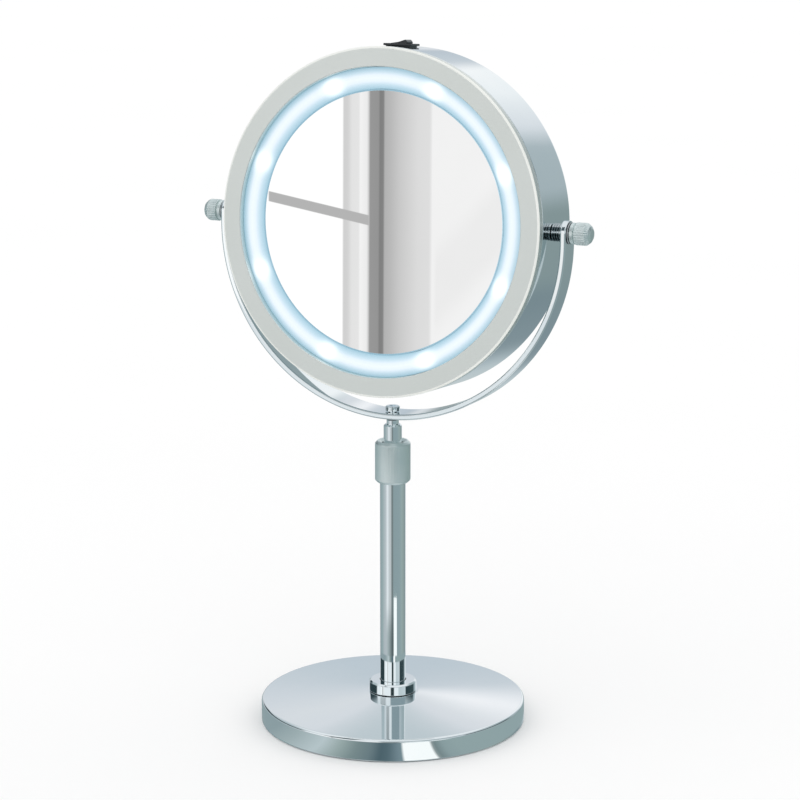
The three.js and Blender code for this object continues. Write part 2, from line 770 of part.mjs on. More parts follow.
function makeSwitch() {
  const group = new THREE.Group();
  const frame = box(
    switchFrameLength,
    switchFrameWidth,
    switchFrameThickness,
    0,
    switchSetBack,
    switchTop - switchFrameThickness / 2,
  );
  const bodyTop = switchTop - switchFrameThickness / 2;
  const bodyBottom = headRadius - switchBodyDepth;
  const body = box(
    switchBodyLength,
    switchBodyWidth,
    bodyTop - bodyBottom,
    0,
    switchSetBack,
    (bodyTop + bodyBottom) / 2,
  );
  const pressDepth = rockerLength / 2 * Math.sin(2 * THREE.MathUtils.degToRad(rockerTilt));
  const wellDepth = rockerDepth + pressDepth + rockerWellClear;
  const well = box(
    rockerLength + 2 * gap,
    rockerWidth + 2 * gap,
    2 * wellDepth,
    0,
    switchSetBack,
    switchTop,
  );
  group.add(part('switch_body', cut(join(frame, body), well), 'black'));

  const half = rockerLength / 2;
  const lean = Math.tan(THREE.MathUtils.degToRad(rockerTilt));
  const valley = rockerDepth / 2 + rockerRise / 3;
  const outline = new THREE.Shape();
  outline.moveTo(-half + rockerDepth / 2, -rockerDepth / 2);
  outline.lineTo(half - rockerDepth / 2, -rockerDepth / 2);
  outline.lineTo(half, rockerDepth / 2);
  outline.lineTo(half - rockerEndStep, valley + half * lean);
  outline.lineTo(0, valley);
  outline.lineTo(-half + rockerEndStep, valley + half * lean);
  outline.lineTo(-half, rockerDepth / 2);
  outline.closePath();
  const rocker = new THREE.ExtrudeGeometry(outline, { depth: rockerWidth, bevelEnabled: false })
    .translate(0, 0, -rockerWidth / 2)
    .rotateX(Math.PI / 2)
    .rotateY(-THREE.MathUtils.degToRad(rockerTilt))
    .translate(0, switchSetBack, rockerPivot);
  group.add(part('rocker', rocker, 'black'));
  return group;
}

function makeLeads() {
  const group = new THREE.Group();
  const boxTop = boxHeight / 2 + gap + leadRadius;
  const switchFoot = headRadius - switchBodyDepth - gap;
  const rise = switchFoot - boxTop;
  const behindBox = boxFrontY + 4;
  const [portX, , portZ] = leadPort(1);
  const leads = [
    ['lead_battery_switch', 'red', [
      [-12, behindBox, boxTop],
      [-12, behindBox, boxTop + 0.25 * rise],
      [-9, behindBox, boxTop + 0.5 * rise],
      [-4, switchSetBack, switchFoot - 0.2 * rise],
      [-4, switchSetBack, switchFoot],
    ]],
    ['lead_switch_board', 'red', [
      [4, switchSetBack, switchFoot],
      [4, switchSetBack, switchFoot - 6],
      [portX / 2, switchSetBack - 1, portZ - 8],
      [portX - 1, switchSetBack - 2, portZ - 3],
      [portX, carrierBackY + 3, portZ],
      [portX, carrierY, portZ],
    ]],
    ['lead_battery_board', 'black', [
      [-20, behindBox, boxTop],
      [-20, behindBox, boxTop + 0.2 * rise],
      [-24, behindBox, boxTop + 0.45 * rise],
      [-portX, carrierBackY + 5, portZ - 3],
      [-portX, carrierBackY + 2, portZ],
      [-portX, carrierY, portZ],
    ]],
  ];
  for (const [name, finish, points] of leads) {
    group.add(part(name, pipe(points, leadRadius, wireSides, leadSteps), finish));
  }
  return group;
}

// ---------------------------------------------------------------- pivots

function makePivot(side) {
  const group = new THREE.Group();
  const name = side > 0 ? 'right' : 'left';
  const headEnd = Math.sqrt(drumBore ** 2 - pivotHeadRadius ** 2) - gap;
  const boltEnd = knobStart + knobLength - knobDome - gap;
  const bolt = sideways([
    [0, headEnd - pivotHeadThickness],
    [pivotHeadRadius, headEnd - pivotHeadThickness],
    [pivotHeadRadius, headEnd],
    [pivotRadius, headEnd],
    [pivotRadius, boltEnd],
    [0, boltEnd],
  ], screwSides, side);
  group.add(part(`pivot_bolt_${name}`, bolt, 'steel'));

  const spacerStart = headRadius + gap;
  const spacerEnd = bowInnerRadius - gap;
  const waist = spacerRadius - spacerGrooveDepth;
  const middle = (spacerStart + spacerEnd) / 2;
  group.add(part(`pivot_spacer_${name}`, sideways([
    [pivotRadius + gap, spacerStart],
    [spacerRadius, spacerStart],
    [spacerRadius, middle - spacerGrooveWidth],
    [waist, middle - spacerGrooveWidth / 2],
    [waist, middle + spacerGrooveWidth / 2],
    [spacerRadius, middle + spacerGrooveWidth],
    [spacerRadius, spacerEnd],
    [pivotRadius + gap, spacerEnd],
  ], smallSides, side), 'chrome'));

  const washerStart = bowOuterRadius + gap;
  group.add(part(`pivot_washer_${name}`, sideways(
    ring(pivotRadius + gap, pivotWasherRadius, washerStart, washerStart + pivotWasherThickness),
    smallSides,
    side,
  ), 'steel'));

  const grooveStart = knobStart + knobFlange;
  const gripStart = grooveStart + knobGroove;
  const knobEnd = knobStart + knobLength;
  group.add(part(`pivot_knob_${name}`, sideways([
    [pivotRadius + gap, knobStart],
    [knobRadius - knobFlangeStep, knobStart],
    [knobRadius - knobFlangeStep, grooveStart],
    [knobRadius - knobGrooveStep, grooveStart],
    [knobRadius - knobGrooveStep, gripStart],
    [knobRadius, gripStart],
    [knobRadius, knobEnd - knobDome],
    [knobRadius - knobTopChamfer, knobEnd - knobTopHeight],
    [knobRadius - 2 * knobTopChamfer, knobEnd],
    [0, knobEnd],
    [0, boltEnd + gap],
    [pivotRadius + gap, boltEnd + gap],
  ], smallSides, side), 'chrome'));
  return group;
}

// ---------------------------------------------------------------- the whole mirror

const head = new THREE.Group();
head.position.set(0, 0, pivotHeight);
head.rotation.x = tilt;
head.add(
  makeDrum(),
  makeBezel(),
  makeLightRing(),
  makeMirrorAndCarrier(),
  makeLamps(),
  makeBatteryBox(),
  makeBatteryDoor(),
  makeSwitch(),
  makeLeads(),
  makePivot(1),
  makePivot(-1),
);

const mirror = new THREE.Group();
mirror.add(makeBase(), makeClamp(), makeRod(), makeBow(), head);

export default mirror;
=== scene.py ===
"""The looks of a lighted vanity mirror, made around its CAD frame.

Lengths are millimetres here, and a mesh becomes metres when its piece is settled on its body.
A turned piece is made about Z and then laid along its own axis.
"""

import json
import math

import bmesh
import bpy
import numpy as np
from mathutils import Matrix, Vector

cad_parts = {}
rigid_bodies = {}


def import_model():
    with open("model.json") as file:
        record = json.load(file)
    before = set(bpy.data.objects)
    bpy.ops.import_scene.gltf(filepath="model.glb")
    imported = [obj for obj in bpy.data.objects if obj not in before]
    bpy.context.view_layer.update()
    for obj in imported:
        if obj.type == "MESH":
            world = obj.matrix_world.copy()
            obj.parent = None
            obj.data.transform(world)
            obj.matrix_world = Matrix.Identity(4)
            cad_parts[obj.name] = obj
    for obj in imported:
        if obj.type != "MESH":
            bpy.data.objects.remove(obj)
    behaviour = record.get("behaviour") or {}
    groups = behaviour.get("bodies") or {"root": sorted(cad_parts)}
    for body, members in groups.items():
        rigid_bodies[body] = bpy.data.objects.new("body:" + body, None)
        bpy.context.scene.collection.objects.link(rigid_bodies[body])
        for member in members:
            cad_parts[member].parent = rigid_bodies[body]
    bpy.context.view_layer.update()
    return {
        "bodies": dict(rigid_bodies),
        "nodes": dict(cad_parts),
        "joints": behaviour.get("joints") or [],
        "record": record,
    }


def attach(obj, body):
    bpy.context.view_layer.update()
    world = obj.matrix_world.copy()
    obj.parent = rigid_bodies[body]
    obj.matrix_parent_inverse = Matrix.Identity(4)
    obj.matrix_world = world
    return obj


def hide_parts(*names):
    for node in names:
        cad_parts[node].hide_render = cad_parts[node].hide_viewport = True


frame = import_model()

MM = 0.001
NODES = frame["nodes"]
JOINTS = {joint["name"]: joint for joint in frame["joints"]}

# ---------------------------------------------------------------- view

CAMERA_AZIMUTH = 25.63
CAMERA_ELEVATION = 12.13
CAMERA_DISTANCE = 1231
CAMERA_AIM = (3.3, 1.6, 167.6)
CAMERA_LENS = 110.05
CAMERA_SENSOR = 36

# ---------------------------------------------------------------- sizes of the fine shapes

RIM_HEIGHT = 11.7  # top of the base at its rim, before the rounding
RIM_ROUND = 1.5
LAND_MARGIN = 1  # flat land about the foot collar
SHELL_WALL = 1.2
EDGE = 0.3  # a broken edge on the small turned pieces
FOOT_EDGE = 0.8
TUBE_WALL = 1

COLLAR_RIDGES = 72
COLLAR_SHOULDER = 1.9
COLLAR_DISH = 1.15
COLLAR_LIP_WIDTH = 1.4
KNOB_RIDGES = 28
KNOB_FLANGE = 1.9
KNOB_GROOVE = 0.6
KNOB_GROOVE_DEPTH = 0.9
KNOB_DOME = 2.6
RIDGE_STEPS = 6  # facets to a ridge
RIDGE_DEPTH = 0.22

SCREW_DISH_RADIUS = 1.9
SCREW_DISH_DEPTH = 1
STEM_STEP = 1.5
STEM_HEIGHT = 2.2
NECK_CHAMFER = 0.8
SPACER_GROOVE = 0.8

STRAP_EDGE = 0.8
EYE_RADIUS = 6

DRUM_WALL = 1.2
DRUM_EDGE = 2
BEZEL_LIP = 4.5
BEZEL_WIDTH = 9.8
BEZEL_INNER_WALL = 6.5
BEZEL_EDGE = 1
LIGHT_WIDTH = 10.4
LIGHT_WALL = 1.8
LIGHT_RISE = 2
LIGHT_BULGE = 1.6
MIRROR_BEVEL = 0.6
GAP = 0.3

HEAD_SIDES = 288
BASE_SIDES = 240
POST_SIDES = 120


# ---------------------------------------------------------------- reading the frame


def head_frame():
    """The head's own frame at rest: its pivot axis is X and the drum runs along Y."""
    across = Vector((1, 0, 0))
    back = Vector(JOINTS["rocker_press"]["axis"]).normalized()
    turn = Matrix((across, back, across.cross(back))).transposed().to_4x4()
    return Matrix.Translation(Vector(JOINTS["head_tilt"]["pos_m"]) / MM) @ turn


HEAD = head_frame()
ALONG_Y = Matrix.Rotation(-math.pi / 2, 4, "X")  # lays a turned piece along Y
ALONG_X = {1: Matrix.Rotation(math.pi / 2, 4, "Y"), -1: Matrix.Rotation(-math.pi / 2, 4, "Y")}


def span(node, place=Matrix.Identity(4)):
    """A CAD node's lowest and highest corners in the frame that place describes."""
    points = np.array([vertex.co for vertex in NODES[node].data.vertices]) / MM
    back = np.array(place.inverted())
    points = points @ back[:3, :3].T + back[:3, 3]
    return points.min(0), points.max(0)


# ---------------------------------------------------------------- node graphs


class Wire:
    """A node's output, which Python arithmetic carries on into Math nodes."""

    def __init__(self, graph, socket):
        self.graph = graph
        self.socket = socket

    def __add__(self, other):
        return self.graph.maths("ADD", self, other)

    def __sub__(self, other):
        return self.graph.maths("SUBTRACT", self, other)

    def __rsub__(self, other):
        return self.graph.maths("SUBTRACT", other, self)

    def __mul__(self, other):
        return self.graph.maths("MULTIPLY", self, other)

    def __truediv__(self, other):
        return self.graph.maths("DIVIDE", self, other)

    __radd__ = __add__
    __rmul__ = __mul__


class Graph:
    """Adds nodes to a shader or geometry tree."""

    def __init__(self, tree):
        self.tree = tree

    def node(self, kind, sockets, output=0, stops=(), **settings):
        """Makes a node: its settings come first, then the values or links of its sockets."""
        made = self.tree.nodes.new(kind)
        for name, value in settings.items():
            setattr(made, name, value)
        if stops:
            ramp = made.color_ramp.elements
            while len(ramp) < len(stops):
                ramp.new(1)
            for element, (place, shade) in zip(ramp, stops):
                element.position = place
                element.color = shade
        for key, value in sockets.items():
            for item in value if isinstance(value, list) else [value]:
                if isinstance(item, Wire):
                    self.tree.links.new(item.socket, made.inputs[key])
                else:
                    made.inputs[key].default_value = item
        return Wire(self, made.outputs[output]) if len(made.outputs) else None

    def maths(self, operation, first, second=0.0):
        return self.node("ShaderNodeMath", {0: first, 1: second}, operation=operation)

    def vector(self, operation, first, second=(0, 0, 0), output=0):
        return self.node("ShaderNodeVectorMath", {0: first, 1: second}, output, operation=operation)

    def split(self, vector):
        made = self.node("ShaderNodeSeparateXYZ", {0: vector})
        return [Wire(self, output) for output in made.socket.node.outputs]

    def joined(self, x, y, z):
        return self.node("ShaderNodeCombineXYZ", {0: x, 1: y, 2: z})

    def mix(self, share, first, second):
        """Blends two colours."""
        return self.node("ShaderNodeMix", {0: share, 6: first, 7: second}, 2, data_type="RGBA")

    def ramp(self, value, stops):
        return self.node("ShaderNodeValToRGB", {0: value}, stops=stops)

    def rise(self, value, low, high):
        """0 below low, 1 above high, and smooth between them."""
        sockets = {0: value, 1: low, 2: high, 3: 0.0, 4: 1.0}
        return self.node("ShaderNodeMapRange", sockets, interpolation_type="SMOOTHSTEP")

    def band(self, value, low, high, soft):
        """1 between low and high, with soft sides."""
        return self.rise(value, low - soft, low + soft) * (1 - self.rise(value, high - soft, high + soft))

    def noise(self, place, scale, detail=2.0, roughness=0.5):
        sockets = {"Vector": place, "Scale": scale, "Detail": detail, "Roughness": roughness}
        return self.node("ShaderNodeTexNoise", sockets)

    def bump(self, height, strength, distance):
        sockets = {"Height": height, "Strength": strength, "Distance": distance * MM}
        return self.node("ShaderNodeBump", sockets)


class Pattern(Graph):
    """A Geometry Nodes tree with named sizes, kept as a plain mesh once it has run."""

    def __init__(self, name, *sizes, finishes=("Finish",)):
        super().__init__(bpy.data.node_groups.new(name, "GeometryNodeTree"))
        sockets = self.tree.interface
        sockets.new_socket("Geometry", in_out="OUTPUT", socket_type="NodeSocketGeometry")
        sockets.new_socket("Geometry", in_out="INPUT", socket_type="NodeSocketGeometry")
        for size in sizes:
            sockets.new_socket(size, in_out="INPUT", socket_type="NodeSocketFloat")
        for finish in finishes:
            sockets.new_socket(finish, in_out="INPUT", socket_type="NodeSocketMaterial")
        self.entry = self.tree.nodes.new("NodeGroupInput")

    def __getitem__(self, name):
        return Wire(self, self.entry.outputs[name])

    def close(self, geometry, finish=None):
        """Ends the tree with real, finished faces."""
        real = self.node("GeometryNodeRealizeInstances", {0: geometry})
        if finish is not None:
            real = self.node("GeometryNodeSetMaterial", {"Geometry": real, "Material": finish})
        self.node_out(real)

    def node_out(self, geometry):
        out = self.tree.nodes.new("NodeGroupOutput")
        self.tree.links.new(geometry.socket, out.inputs[0])

    def run(self, piece, **values):
        """Grows the pattern on a piece and keeps the result as its mesh."""
        modifier = piece.modifiers.new(self.tree.name, "NODES")
        modifier.node_group = self.tree
        for socket in self.tree.interface.items_tree:
            key = socket.name.replace(" ", "_").lower()
            if key in values:
                modifier[socket.identifier] = values[key]
        return bake(piece)


# ---------------------------------------------------------------- making meshes


def new_piece(name, mesh):
    piece = bpy.data.objects.new(name, mesh)
    bpy.context.scene.collection.objects.link(piece)
    return piece


def bake(piece):
    """Replaces a piece's mesh by what its modifiers make of it."""
    depsgraph = bpy.context.evaluated_depsgraph_get()
    mesh = bpy.data.meshes.new_from_object(piece.evaluated_get(depsgraph), depsgraph=depsgraph)
    piece.modifiers.clear()
    piece.data = mesh
    return piece


def from_faces(name, vertices, faces, *finishes):
    """A piece from its vertices and faces, merged and facing out."""
    mesh = bpy.data.meshes.new(name)
    mesh.from_pydata(vertices, [], faces)
    shape = bmesh.new()
    shape.from_mesh(mesh)
    bmesh.ops.remove_doubles(shape, verts=shape.verts, dist=1e-4)
    bmesh.ops.recalc_face_normals(shape, faces=shape.faces)
    shape.to_mesh(mesh)
    shape.free()
    for finish in finishes:
        mesh.materials.append(finish)
    return new_piece(name, mesh)


def rounded(corners, steps=5, support=0.06):
    """An outline whose corners (across, up, round) are turned into arcs of that radius."""
    outline = []
    for i, (across, up, *radius) in enumerate(corners):
        corner = Vector((across, up))
        radius = radius[0] if radius else 0
        if not radius:
            outline.append(corner)
            continue
        before = (Vector(corners[i - 1][:2]) - corner).normalized()
        after = (Vector(corners[(i + 1) % len(corners)][:2]) - corner).normalized()
        half = before.angle(after) / 2
        reach = radius / math.tan(half)
        centre = corner + (before + after).normalized() * radius / math.sin(half)
        start = corner + before * reach - centre
        end = corner + after * reach - centre
        turn = start.angle_signed(end)
        outline.append(corner + before * (reach + support))
        for step in range(steps + 1):
            arm = start.copy()
            arm.rotate(Matrix.Rotation(-turn * step / steps, 2))
            outline.append(centre + arm)
        outline.append(corner + after * (reach + support))
    return [tuple(point) for point in outline]


def turned(name, outline, sides, *finishes):
    """A closed piece turned about Z from its (radius, height) outline."""
    vertices = []
    rings = []
    for radius, height in outline:
        if radius < 1e-6:
            rings.append([len(vertices)] * sides)
            vertices.append((0, 0, height))
            continue
        rings.append(list(range(len(vertices), len(vertices) + sides)))
        for side in range(sides):
            angle = 2 * math.pi * side / sides
            vertices.append((radius * math.cos(angle), radius * math.sin(angle), height))
    faces = []
    for i, ring in enumerate(rings):
        other = rings[(i + 1) % len(rings)]
        if ring[0] == ring[1] and other[0] == other[1]:
            continue
        for side in range(sides):
            following = (side + 1) % sides
            face = [ring[side], other[side], other[following], ring[following]]
            faces.append(list(dict.fromkeys(face)))
    return from_faces(name, vertices, faces, *finishes)


def extruded(name, outline, depth, *finishes):
    """A closed piece from an outline in the XZ plane, as thick as depth along Y."""
    count = len(outline)
    front = [(x, -depth / 2, z) for x, z in outline]
    back = [(x, depth / 2, z) for x, z in outline]
    faces = [list(range(count)), list(range(count, 2 * count))]
    for i in range(count):
        following = (i + 1) % count
        faces.append([i, following, count + following, count + i])
    return from_faces(name, front + back, faces, *finishes)


def block(name, low, high, *finishes):
    """A plain box between two corners, for cutting and for shaping further."""
    corners = [(x, y, z) for x in (low[0], high[0]) for y in (low[1], high[1]) for z in (low[2], high[2])]
    faces = [(0, 1, 3, 2), (4, 5, 7, 6), (0, 1, 5, 4), (2, 3, 7, 6), (0, 2, 6, 4), (1, 3, 7, 5)]
    return from_faces(name, corners, faces, *finishes)


def post(name, radius, low, high, sides, *finishes):
    return turned(name, [(0, low), (radius, low), (radius, high), (0, high)], sides, *finishes)


def placed(piece, place):
    """Moves a piece within its mesh."""
    piece.data.transform(place)
    return piece


def carve(piece, tools, operation="DIFFERENCE"):
    """Cuts the tools out of a piece, or joins them to it."""
    for tool in tools:
        modifier = piece.modifiers.new("carve", "BOOLEAN")
        modifier.operation = operation
        modifier.solver = "EXACT"
        modifier.object = tool
    bake(piece)
    for tool in tools:
        bpy.data.objects.remove(tool)
    return piece


def softened(piece, width, steps=3, angle=30):
    """Rounds a piece's sharp edges."""
    modifier = piece.modifiers.new("edges", "BEVEL")
    modifier.width = width
    modifier.segments = steps
    modifier.limit_method = "ANGLE"
    modifier.angle_limit = math.radians(angle)
    modifier.harden_normals = True
    piece.data.shade_smooth()
    return bake(piece)


def flats_kept(piece, angle=35):
    """Smooths a piece so that its large flats stay flat beside its rounded edges."""
    piece.data.shade_smooth()
    piece.data.set_sharp_from_angle(angle=math.radians(angle))
    modifier = piece.modifiers.new("flats", "WEIGHTED_NORMAL")
    modifier.keep_sharp = True
    return bake(piece)


def merged(first, *others):
    """Joins other pieces' meshes to the first piece's."""
    shape = bmesh.new()
    shape.from_mesh(first.data)
    finishes = [slot for slot in first.data.materials]
    for other in others:
        start = len(shape.faces)
        shape.from_mesh(other.data)
        shape.faces.ensure_lookup_table()
        for face in shape.faces[start:]:
            finish = other.data.materials[face.material_index]
            if finish not in finishes:
                finishes.append(finish)
                first.data.materials.append(finish)
            face.material_index = finishes.index(finish)
        bpy.data.objects.remove(other)
    shape.to_mesh(first.data)
    shape.free()
    return first


def settle(piece, body, slot, *nodes, place=Matrix.Identity(4), sharp=35):
    """Puts a piece in its place in metres, smooths it, and lets it ride on its body."""
    piece.data.transform(Matrix.Scale(MM, 4) @ place)
    if not piece.data.has_custom_normals:
        piece.data.shade_smooth()
        piece.data.set_sharp_from_angle(angle=math.radians(sharp))
    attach(piece, body)
    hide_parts(*nodes)
    return piece


# ---------------------------------------------------------------- finishes


def shade(red, green, blue):
    """A display colour as the linear values that the shaders take."""
    linear = []
    for level in (red, green, blue):
        share = level / 255
        linear.append(share / 12.92 if share <= 0.04045 else ((share + 0.055) / 1.055) ** 2.4)
    return (*linear, 1)


def new_finish(name):
    material = bpy.data.materials.new(name)
    material.use_nodes = True
    material.node_tree.nodes.clear()
    graph = Graph(material.node_tree)
    return material, graph, graph.node("ShaderNodeTexCoord", {}, "Object")


def surface(graph, **sockets):
    """The Principled shader; a socket's name is written with _ for its spaces."""
    sockets = {name.replace("_", " "): value for name, value in sockets.items()}
    shader = graph.node("ShaderNodeBsdfPrincipled", sockets)
    graph.node("ShaderNodeOutputMaterial", {"Surface": shader})


def head_place(graph, place):
    """Coordinates in the head's own frame, in millimetres."""
    back = HEAD.inverted()
    turned_back = graph.node("ShaderNodeMapping", {
        "Vector": place,
        "Location": back.to_translation(),
        "Rotation": tuple(back.to_euler()),
        "Scale": (1 / MM, 1 / MM, 1 / MM),
    })
    return graph.split(turned_back)


def polished_chrome():
    """Bright chrome plate with a faint buffing haze and the slight waviness of polished steel."""
    material, graph, place = new_finish("polished_chrome")
    haze = graph.noise(place, 38, 4, 0.6)
    swirl = graph.noise(place, 420, 2)
    surface(
        graph,
        Base_Color=graph.mix(haze, shade(238, 244, 246), shade(246, 249, 250)),
        Metallic=1.0,
        Roughness=0.018 + 0.03 * haze + 0.012 * swirl,
        Normal=graph.bump(haze, 0.02, 0.2),
    )
    return material


def satin_chrome():
    """Dull plate on the knurled pieces, its tone and roughness varying in soft clouds and a fine grain."""
    material, graph, place = new_finish("satin_chrome")
    cloud = graph.noise(place, 160, 3)
    grain = graph.noise(place, 2600, 2)
    surface(
        graph,
        Base_Color=graph.mix(cloud, shade(232, 242, 241), shade(242, 248, 246)),
        Metallic=1.0,
        Roughness=0.36 + 0.08 * cloud + 0.06 * grain,
        Normal=graph.bump(grain, 0.12, 0.03),
    )
    return material


def satin_ring():
    """Fine satin silver, its grain running round the face, with a painted highlight along its outer edge."""
    material, graph, place = new_finish("satin_ring")
    across, back, up = head_place(graph, place)
    radius = graph.maths("SQRT", across * across + up * up)
    rings = graph.noise(graph.joined(radius, 0.0, 0.0), 2.2, 4, 0.7)
    cloud = graph.noise(place, 24, 3)
    speck = graph.noise(place, 3200, 2)
    low, high = span("front_bezel", HEAD)
    # painted highlight: the outer edge is made mostly non-metallic, so its light base colour shows as a white line all
    # round
    edge = graph.rise(radius, high[0] - 1.1, high[0] - 0.9)
    edge = edge * (1 - graph.rise(back, low[1] + 0.75, low[1] + 0.95))
    surface(
        graph,
        Base_Color=graph.mix(cloud, shade(238, 240, 234), shade(246, 247, 243)),
        Metallic=1 - 0.85 * edge,
        Roughness=(0.36 + 0.08 * rings + 0.05 * speck) * (1 - 0.3 * edge),
        Normal=graph.bump(rings + speck, 0.1, 0.02),
    )
    return material


def plain_steel():
    """Zinc plated steel with the mottle of the plating."""
    material, graph, place = new_finish("plain_steel")
    mottle = graph.noise(place, 700, 4, 0.65)
    surface(
        graph,
        Base_Color=graph.mix(mottle, shade(176, 180, 186), shade(205, 207, 206)),
        Metallic=1.0,
        Roughness=0.28 + 0.2 * mottle,
        Normal=graph.bump(mottle, 0.1, 0.04),
    )
    return material


def grooved_steel():
    """Turned steel with painted light: a dark base colour as painted shade above and below, and a painted highlight
    along the middle and over the top.
    """
    material, graph, place = new_finish("grooved_steel")
    _, _, up = head_place(graph, place)
    mottle = graph.noise(place, 900, 3, 0.6)
    # painted highlight: a bright band along the spacer's middle, wavering with the mottle
    painted_highlight = graph.band(up + 1.2 * (mottle - 0.5), -0.2, 1.0, 0.35)
    # painted highlight: bright over the spacer's top
    painted_crest_highlight = graph.rise(up, 2.5, 3.2) * 0.75
    # painted shade: the dark base colour wherever the painted highlights are not
    dark = graph.mix(mottle, shade(58, 70, 74), shade(112, 126, 130))
    surface(
        graph,
        Base_Color=graph.mix(graph.maths("MAXIMUM", painted_highlight, painted_crest_highlight), dark, shade(246, 248, 249)),
        Metallic=1.0,
        Roughness=0.12 + 0.1 * mottle,
        Normal=graph.bump(mottle, 0.1, 0.04),
    )
    return material


def brass():
    """Machined brass with fine tool rings along the post."""
    material, graph, place = new_finish("brass")
    _, _, up = graph.split(place)
    tool_marks = graph.noise(graph.joined(0.0, 0.0, up), 5200, 1)
    surface(
        graph,
        Base_Color=graph.mix(tool_marks, shade(201, 165, 96), shade(222, 190, 122)),
        Metallic=1.0,
        Roughness=0.24 + 0.14 * tool_marks,
        Normal=graph.bump(tool_marks, 0.15, 0.02),
    )
    return material


def cast_iron():
    """Painted casting, pitted like sand."""
    material, graph, place = new_finish("cast_iron")
    sand = graph.noise(place, 900, 5, 0.7)
    surface(
        graph,
        Base_Color=graph.mix(sand, shade(52, 53, 55), shade(78, 78, 80)),
        Metallic=0.2,
        Roughness=0.62 + 0.25 * sand,
        Normal=graph.bump(sand, 0.7, 0.25),
    )
    return material


def rubber():
    """Foam rubber with open pores."""
    material, graph, place = new_finish("rubber")
    pores = graph.node("ShaderNodeTexVoronoi", {"Vector": place, "Scale": 1500.0})
    surface(
        graph,
        Base_Color=graph.mix(pores, shade(30, 30, 32), shade(52, 52, 54)),
        Roughness=0.78 + 0.15 * pores,
        Normal=graph.bump(pores, 0.6, 0.15),
    )
    return material


def moulded(name, dark, light, roughness, texture, strength, metallic=0.0, coat=0.0):
    """Injection moulded plastic with a fine spark-eroded texture."""
    material, graph, place = new_finish(name)
    cloud = graph.noise(place, 45, 3)
    grain = graph.noise(place, texture, 3, 0.6)
    surface(
        graph,
        Base_Color=graph.mix(cloud, dark, light),
        Metallic=metallic,
        Roughness=roughness + 0.12 * grain,
        Coat_Weight=coat,
        Normal=graph.bump(grain, strength, 0.03),
    )
    return material


def frosted_light():
    """Frosted diffuser lit from behind: white down the middle, cool at its edges, hot at each lamp."""
    material, graph, place = new_finish("frosted_light")
    low, high = span("light_ring", HEAD)
    lamps = sum(node.startswith("lamp_") and node != "lamp_board" for node in NODES)
    outer = high[0]
    middle = outer - LIGHT_WIDTH / 2
    across, _, up = head_place(graph, place)
    radius = graph.maths("SQRT", across * across + up * up)
    off = graph.maths("ABSOLUTE", radius - middle) / (LIGHT_WIDTH / 2)
    angle = graph.maths("ARCTAN2", across, up)
    beat = 0.5 - 0.5 * graph.maths("COSINE", angle * lamps)
    frost = graph.noise(place, 900, 3)
    hot = graph.maths("POWER", beat, 14.0) * (1 - graph.rise(off, 0.3, 1.1))
    cool = graph.ramp(off, [
        (0, shade(222, 220, 222)),
        (0.3, shade(214, 215, 219)),
        (0.62, shade(176, 192, 202)),
        (1, shade(134, 164, 178)),
    ])
    glow = graph.mix(hot, cool, (1.1, 1.1, 1.1, 1))
    surface(
        graph,
        Base_Color=graph.mix(frost, shade(104, 134, 148), shade(116, 144, 156)),
        Roughness=0.4 + 0.2 * frost,
        Emission_Color=glow,
        Emission_Strength=1.0,
        Normal=graph.bump(frost, 0.15, 0.05),
    )
    return material


def mirror_silver():
    """Silvered float glass, clean apart from the faintest haze."""
    material, graph, place = new_finish("mirror")
    haze = graph.noise(place, 30, 3)
    surface(
        graph,
        Base_Color=graph.mix(haze, shade(249, 249, 249), shade(253, 253, 253)),
        Metallic=1.0,
        Roughness=0.002 + 0.006 * haze,
    )
    return material


def lamp_board():
    """White solder mask over two copper rings."""
    material, graph, place = new_finish("lamp_board")
    across, _, up = head_place(graph, place)
    radius = graph.maths("SQRT", across * across + up * up)
    low, high = span("lamp_board", HEAD)
    track = graph.band(radius, high[0] - 1.6, high[0] - 0.8, 0.1)
    speck = graph.noise(place, 1200, 3)
    surface(
        graph,
        Base_Color=graph.mix(track, shade(232, 236, 230), shade(214, 219, 206)),
        Roughness=0.34 + 0.2 * speck,
        Normal=graph.bump(track + 0.2 * speck, 0.3, 0.03),
    )
    return material


def lamp_body():
    return moulded("lamp_body", shade(232, 233, 228), shade(245, 245, 240), 0.35, 2400, 0.1)


def phosphor():
    """The lamp's yellow phosphor under its clear dome, lit."""
    material, graph, place = new_finish("phosphor")
    grain = graph.noise(place, 4200, 4)
    surface(
        graph,
        Base_Color=graph.mix(grain, shade(244, 214, 120), shade(250, 232, 160)),
        Roughness=0.2 + 0.2 * grain,
        Emission_Color=graph.mix(grain, shade(240, 244, 255), shade(255, 250, 238)),
        Emission_Strength=2.0,
    )
    return material


def cell_jacket():
    """A plain printed jacket in two tones, with bare steel at both ends."""
    material, graph, place = new_finish("cell")
    across, _, up = head_place(graph, place)
    low, high = span("cell_1", HEAD)
    middle = (low[2] + high[2]) / 2
    inner = 1 - graph.rise(graph.maths("ABSOLUTE", across), 7.2, 7.3)
    along = graph.maths("ABSOLUTE", up - middle * (1 - 2 * inner))
    scuff = graph.noise(place, 260, 4, 0.6)
    jacket = 1 - graph.rise(along, 23.4, 23.5)
    stripe = graph.band(along, 12.5, 14.5, 0.05)
    printed = graph.mix(stripe, shade(42, 112, 108), shade(214, 205, 168))
    surface(
        graph,
        Base_Color=graph.mix(jacket, shade(190, 192, 194), printed),
        Metallic=1 - 0.75 * jacket,
        Roughness=0.26 + 0.16 * scuff,
        Normal=graph.bump(scuff, 0.06, 0.05),
    )
    return material


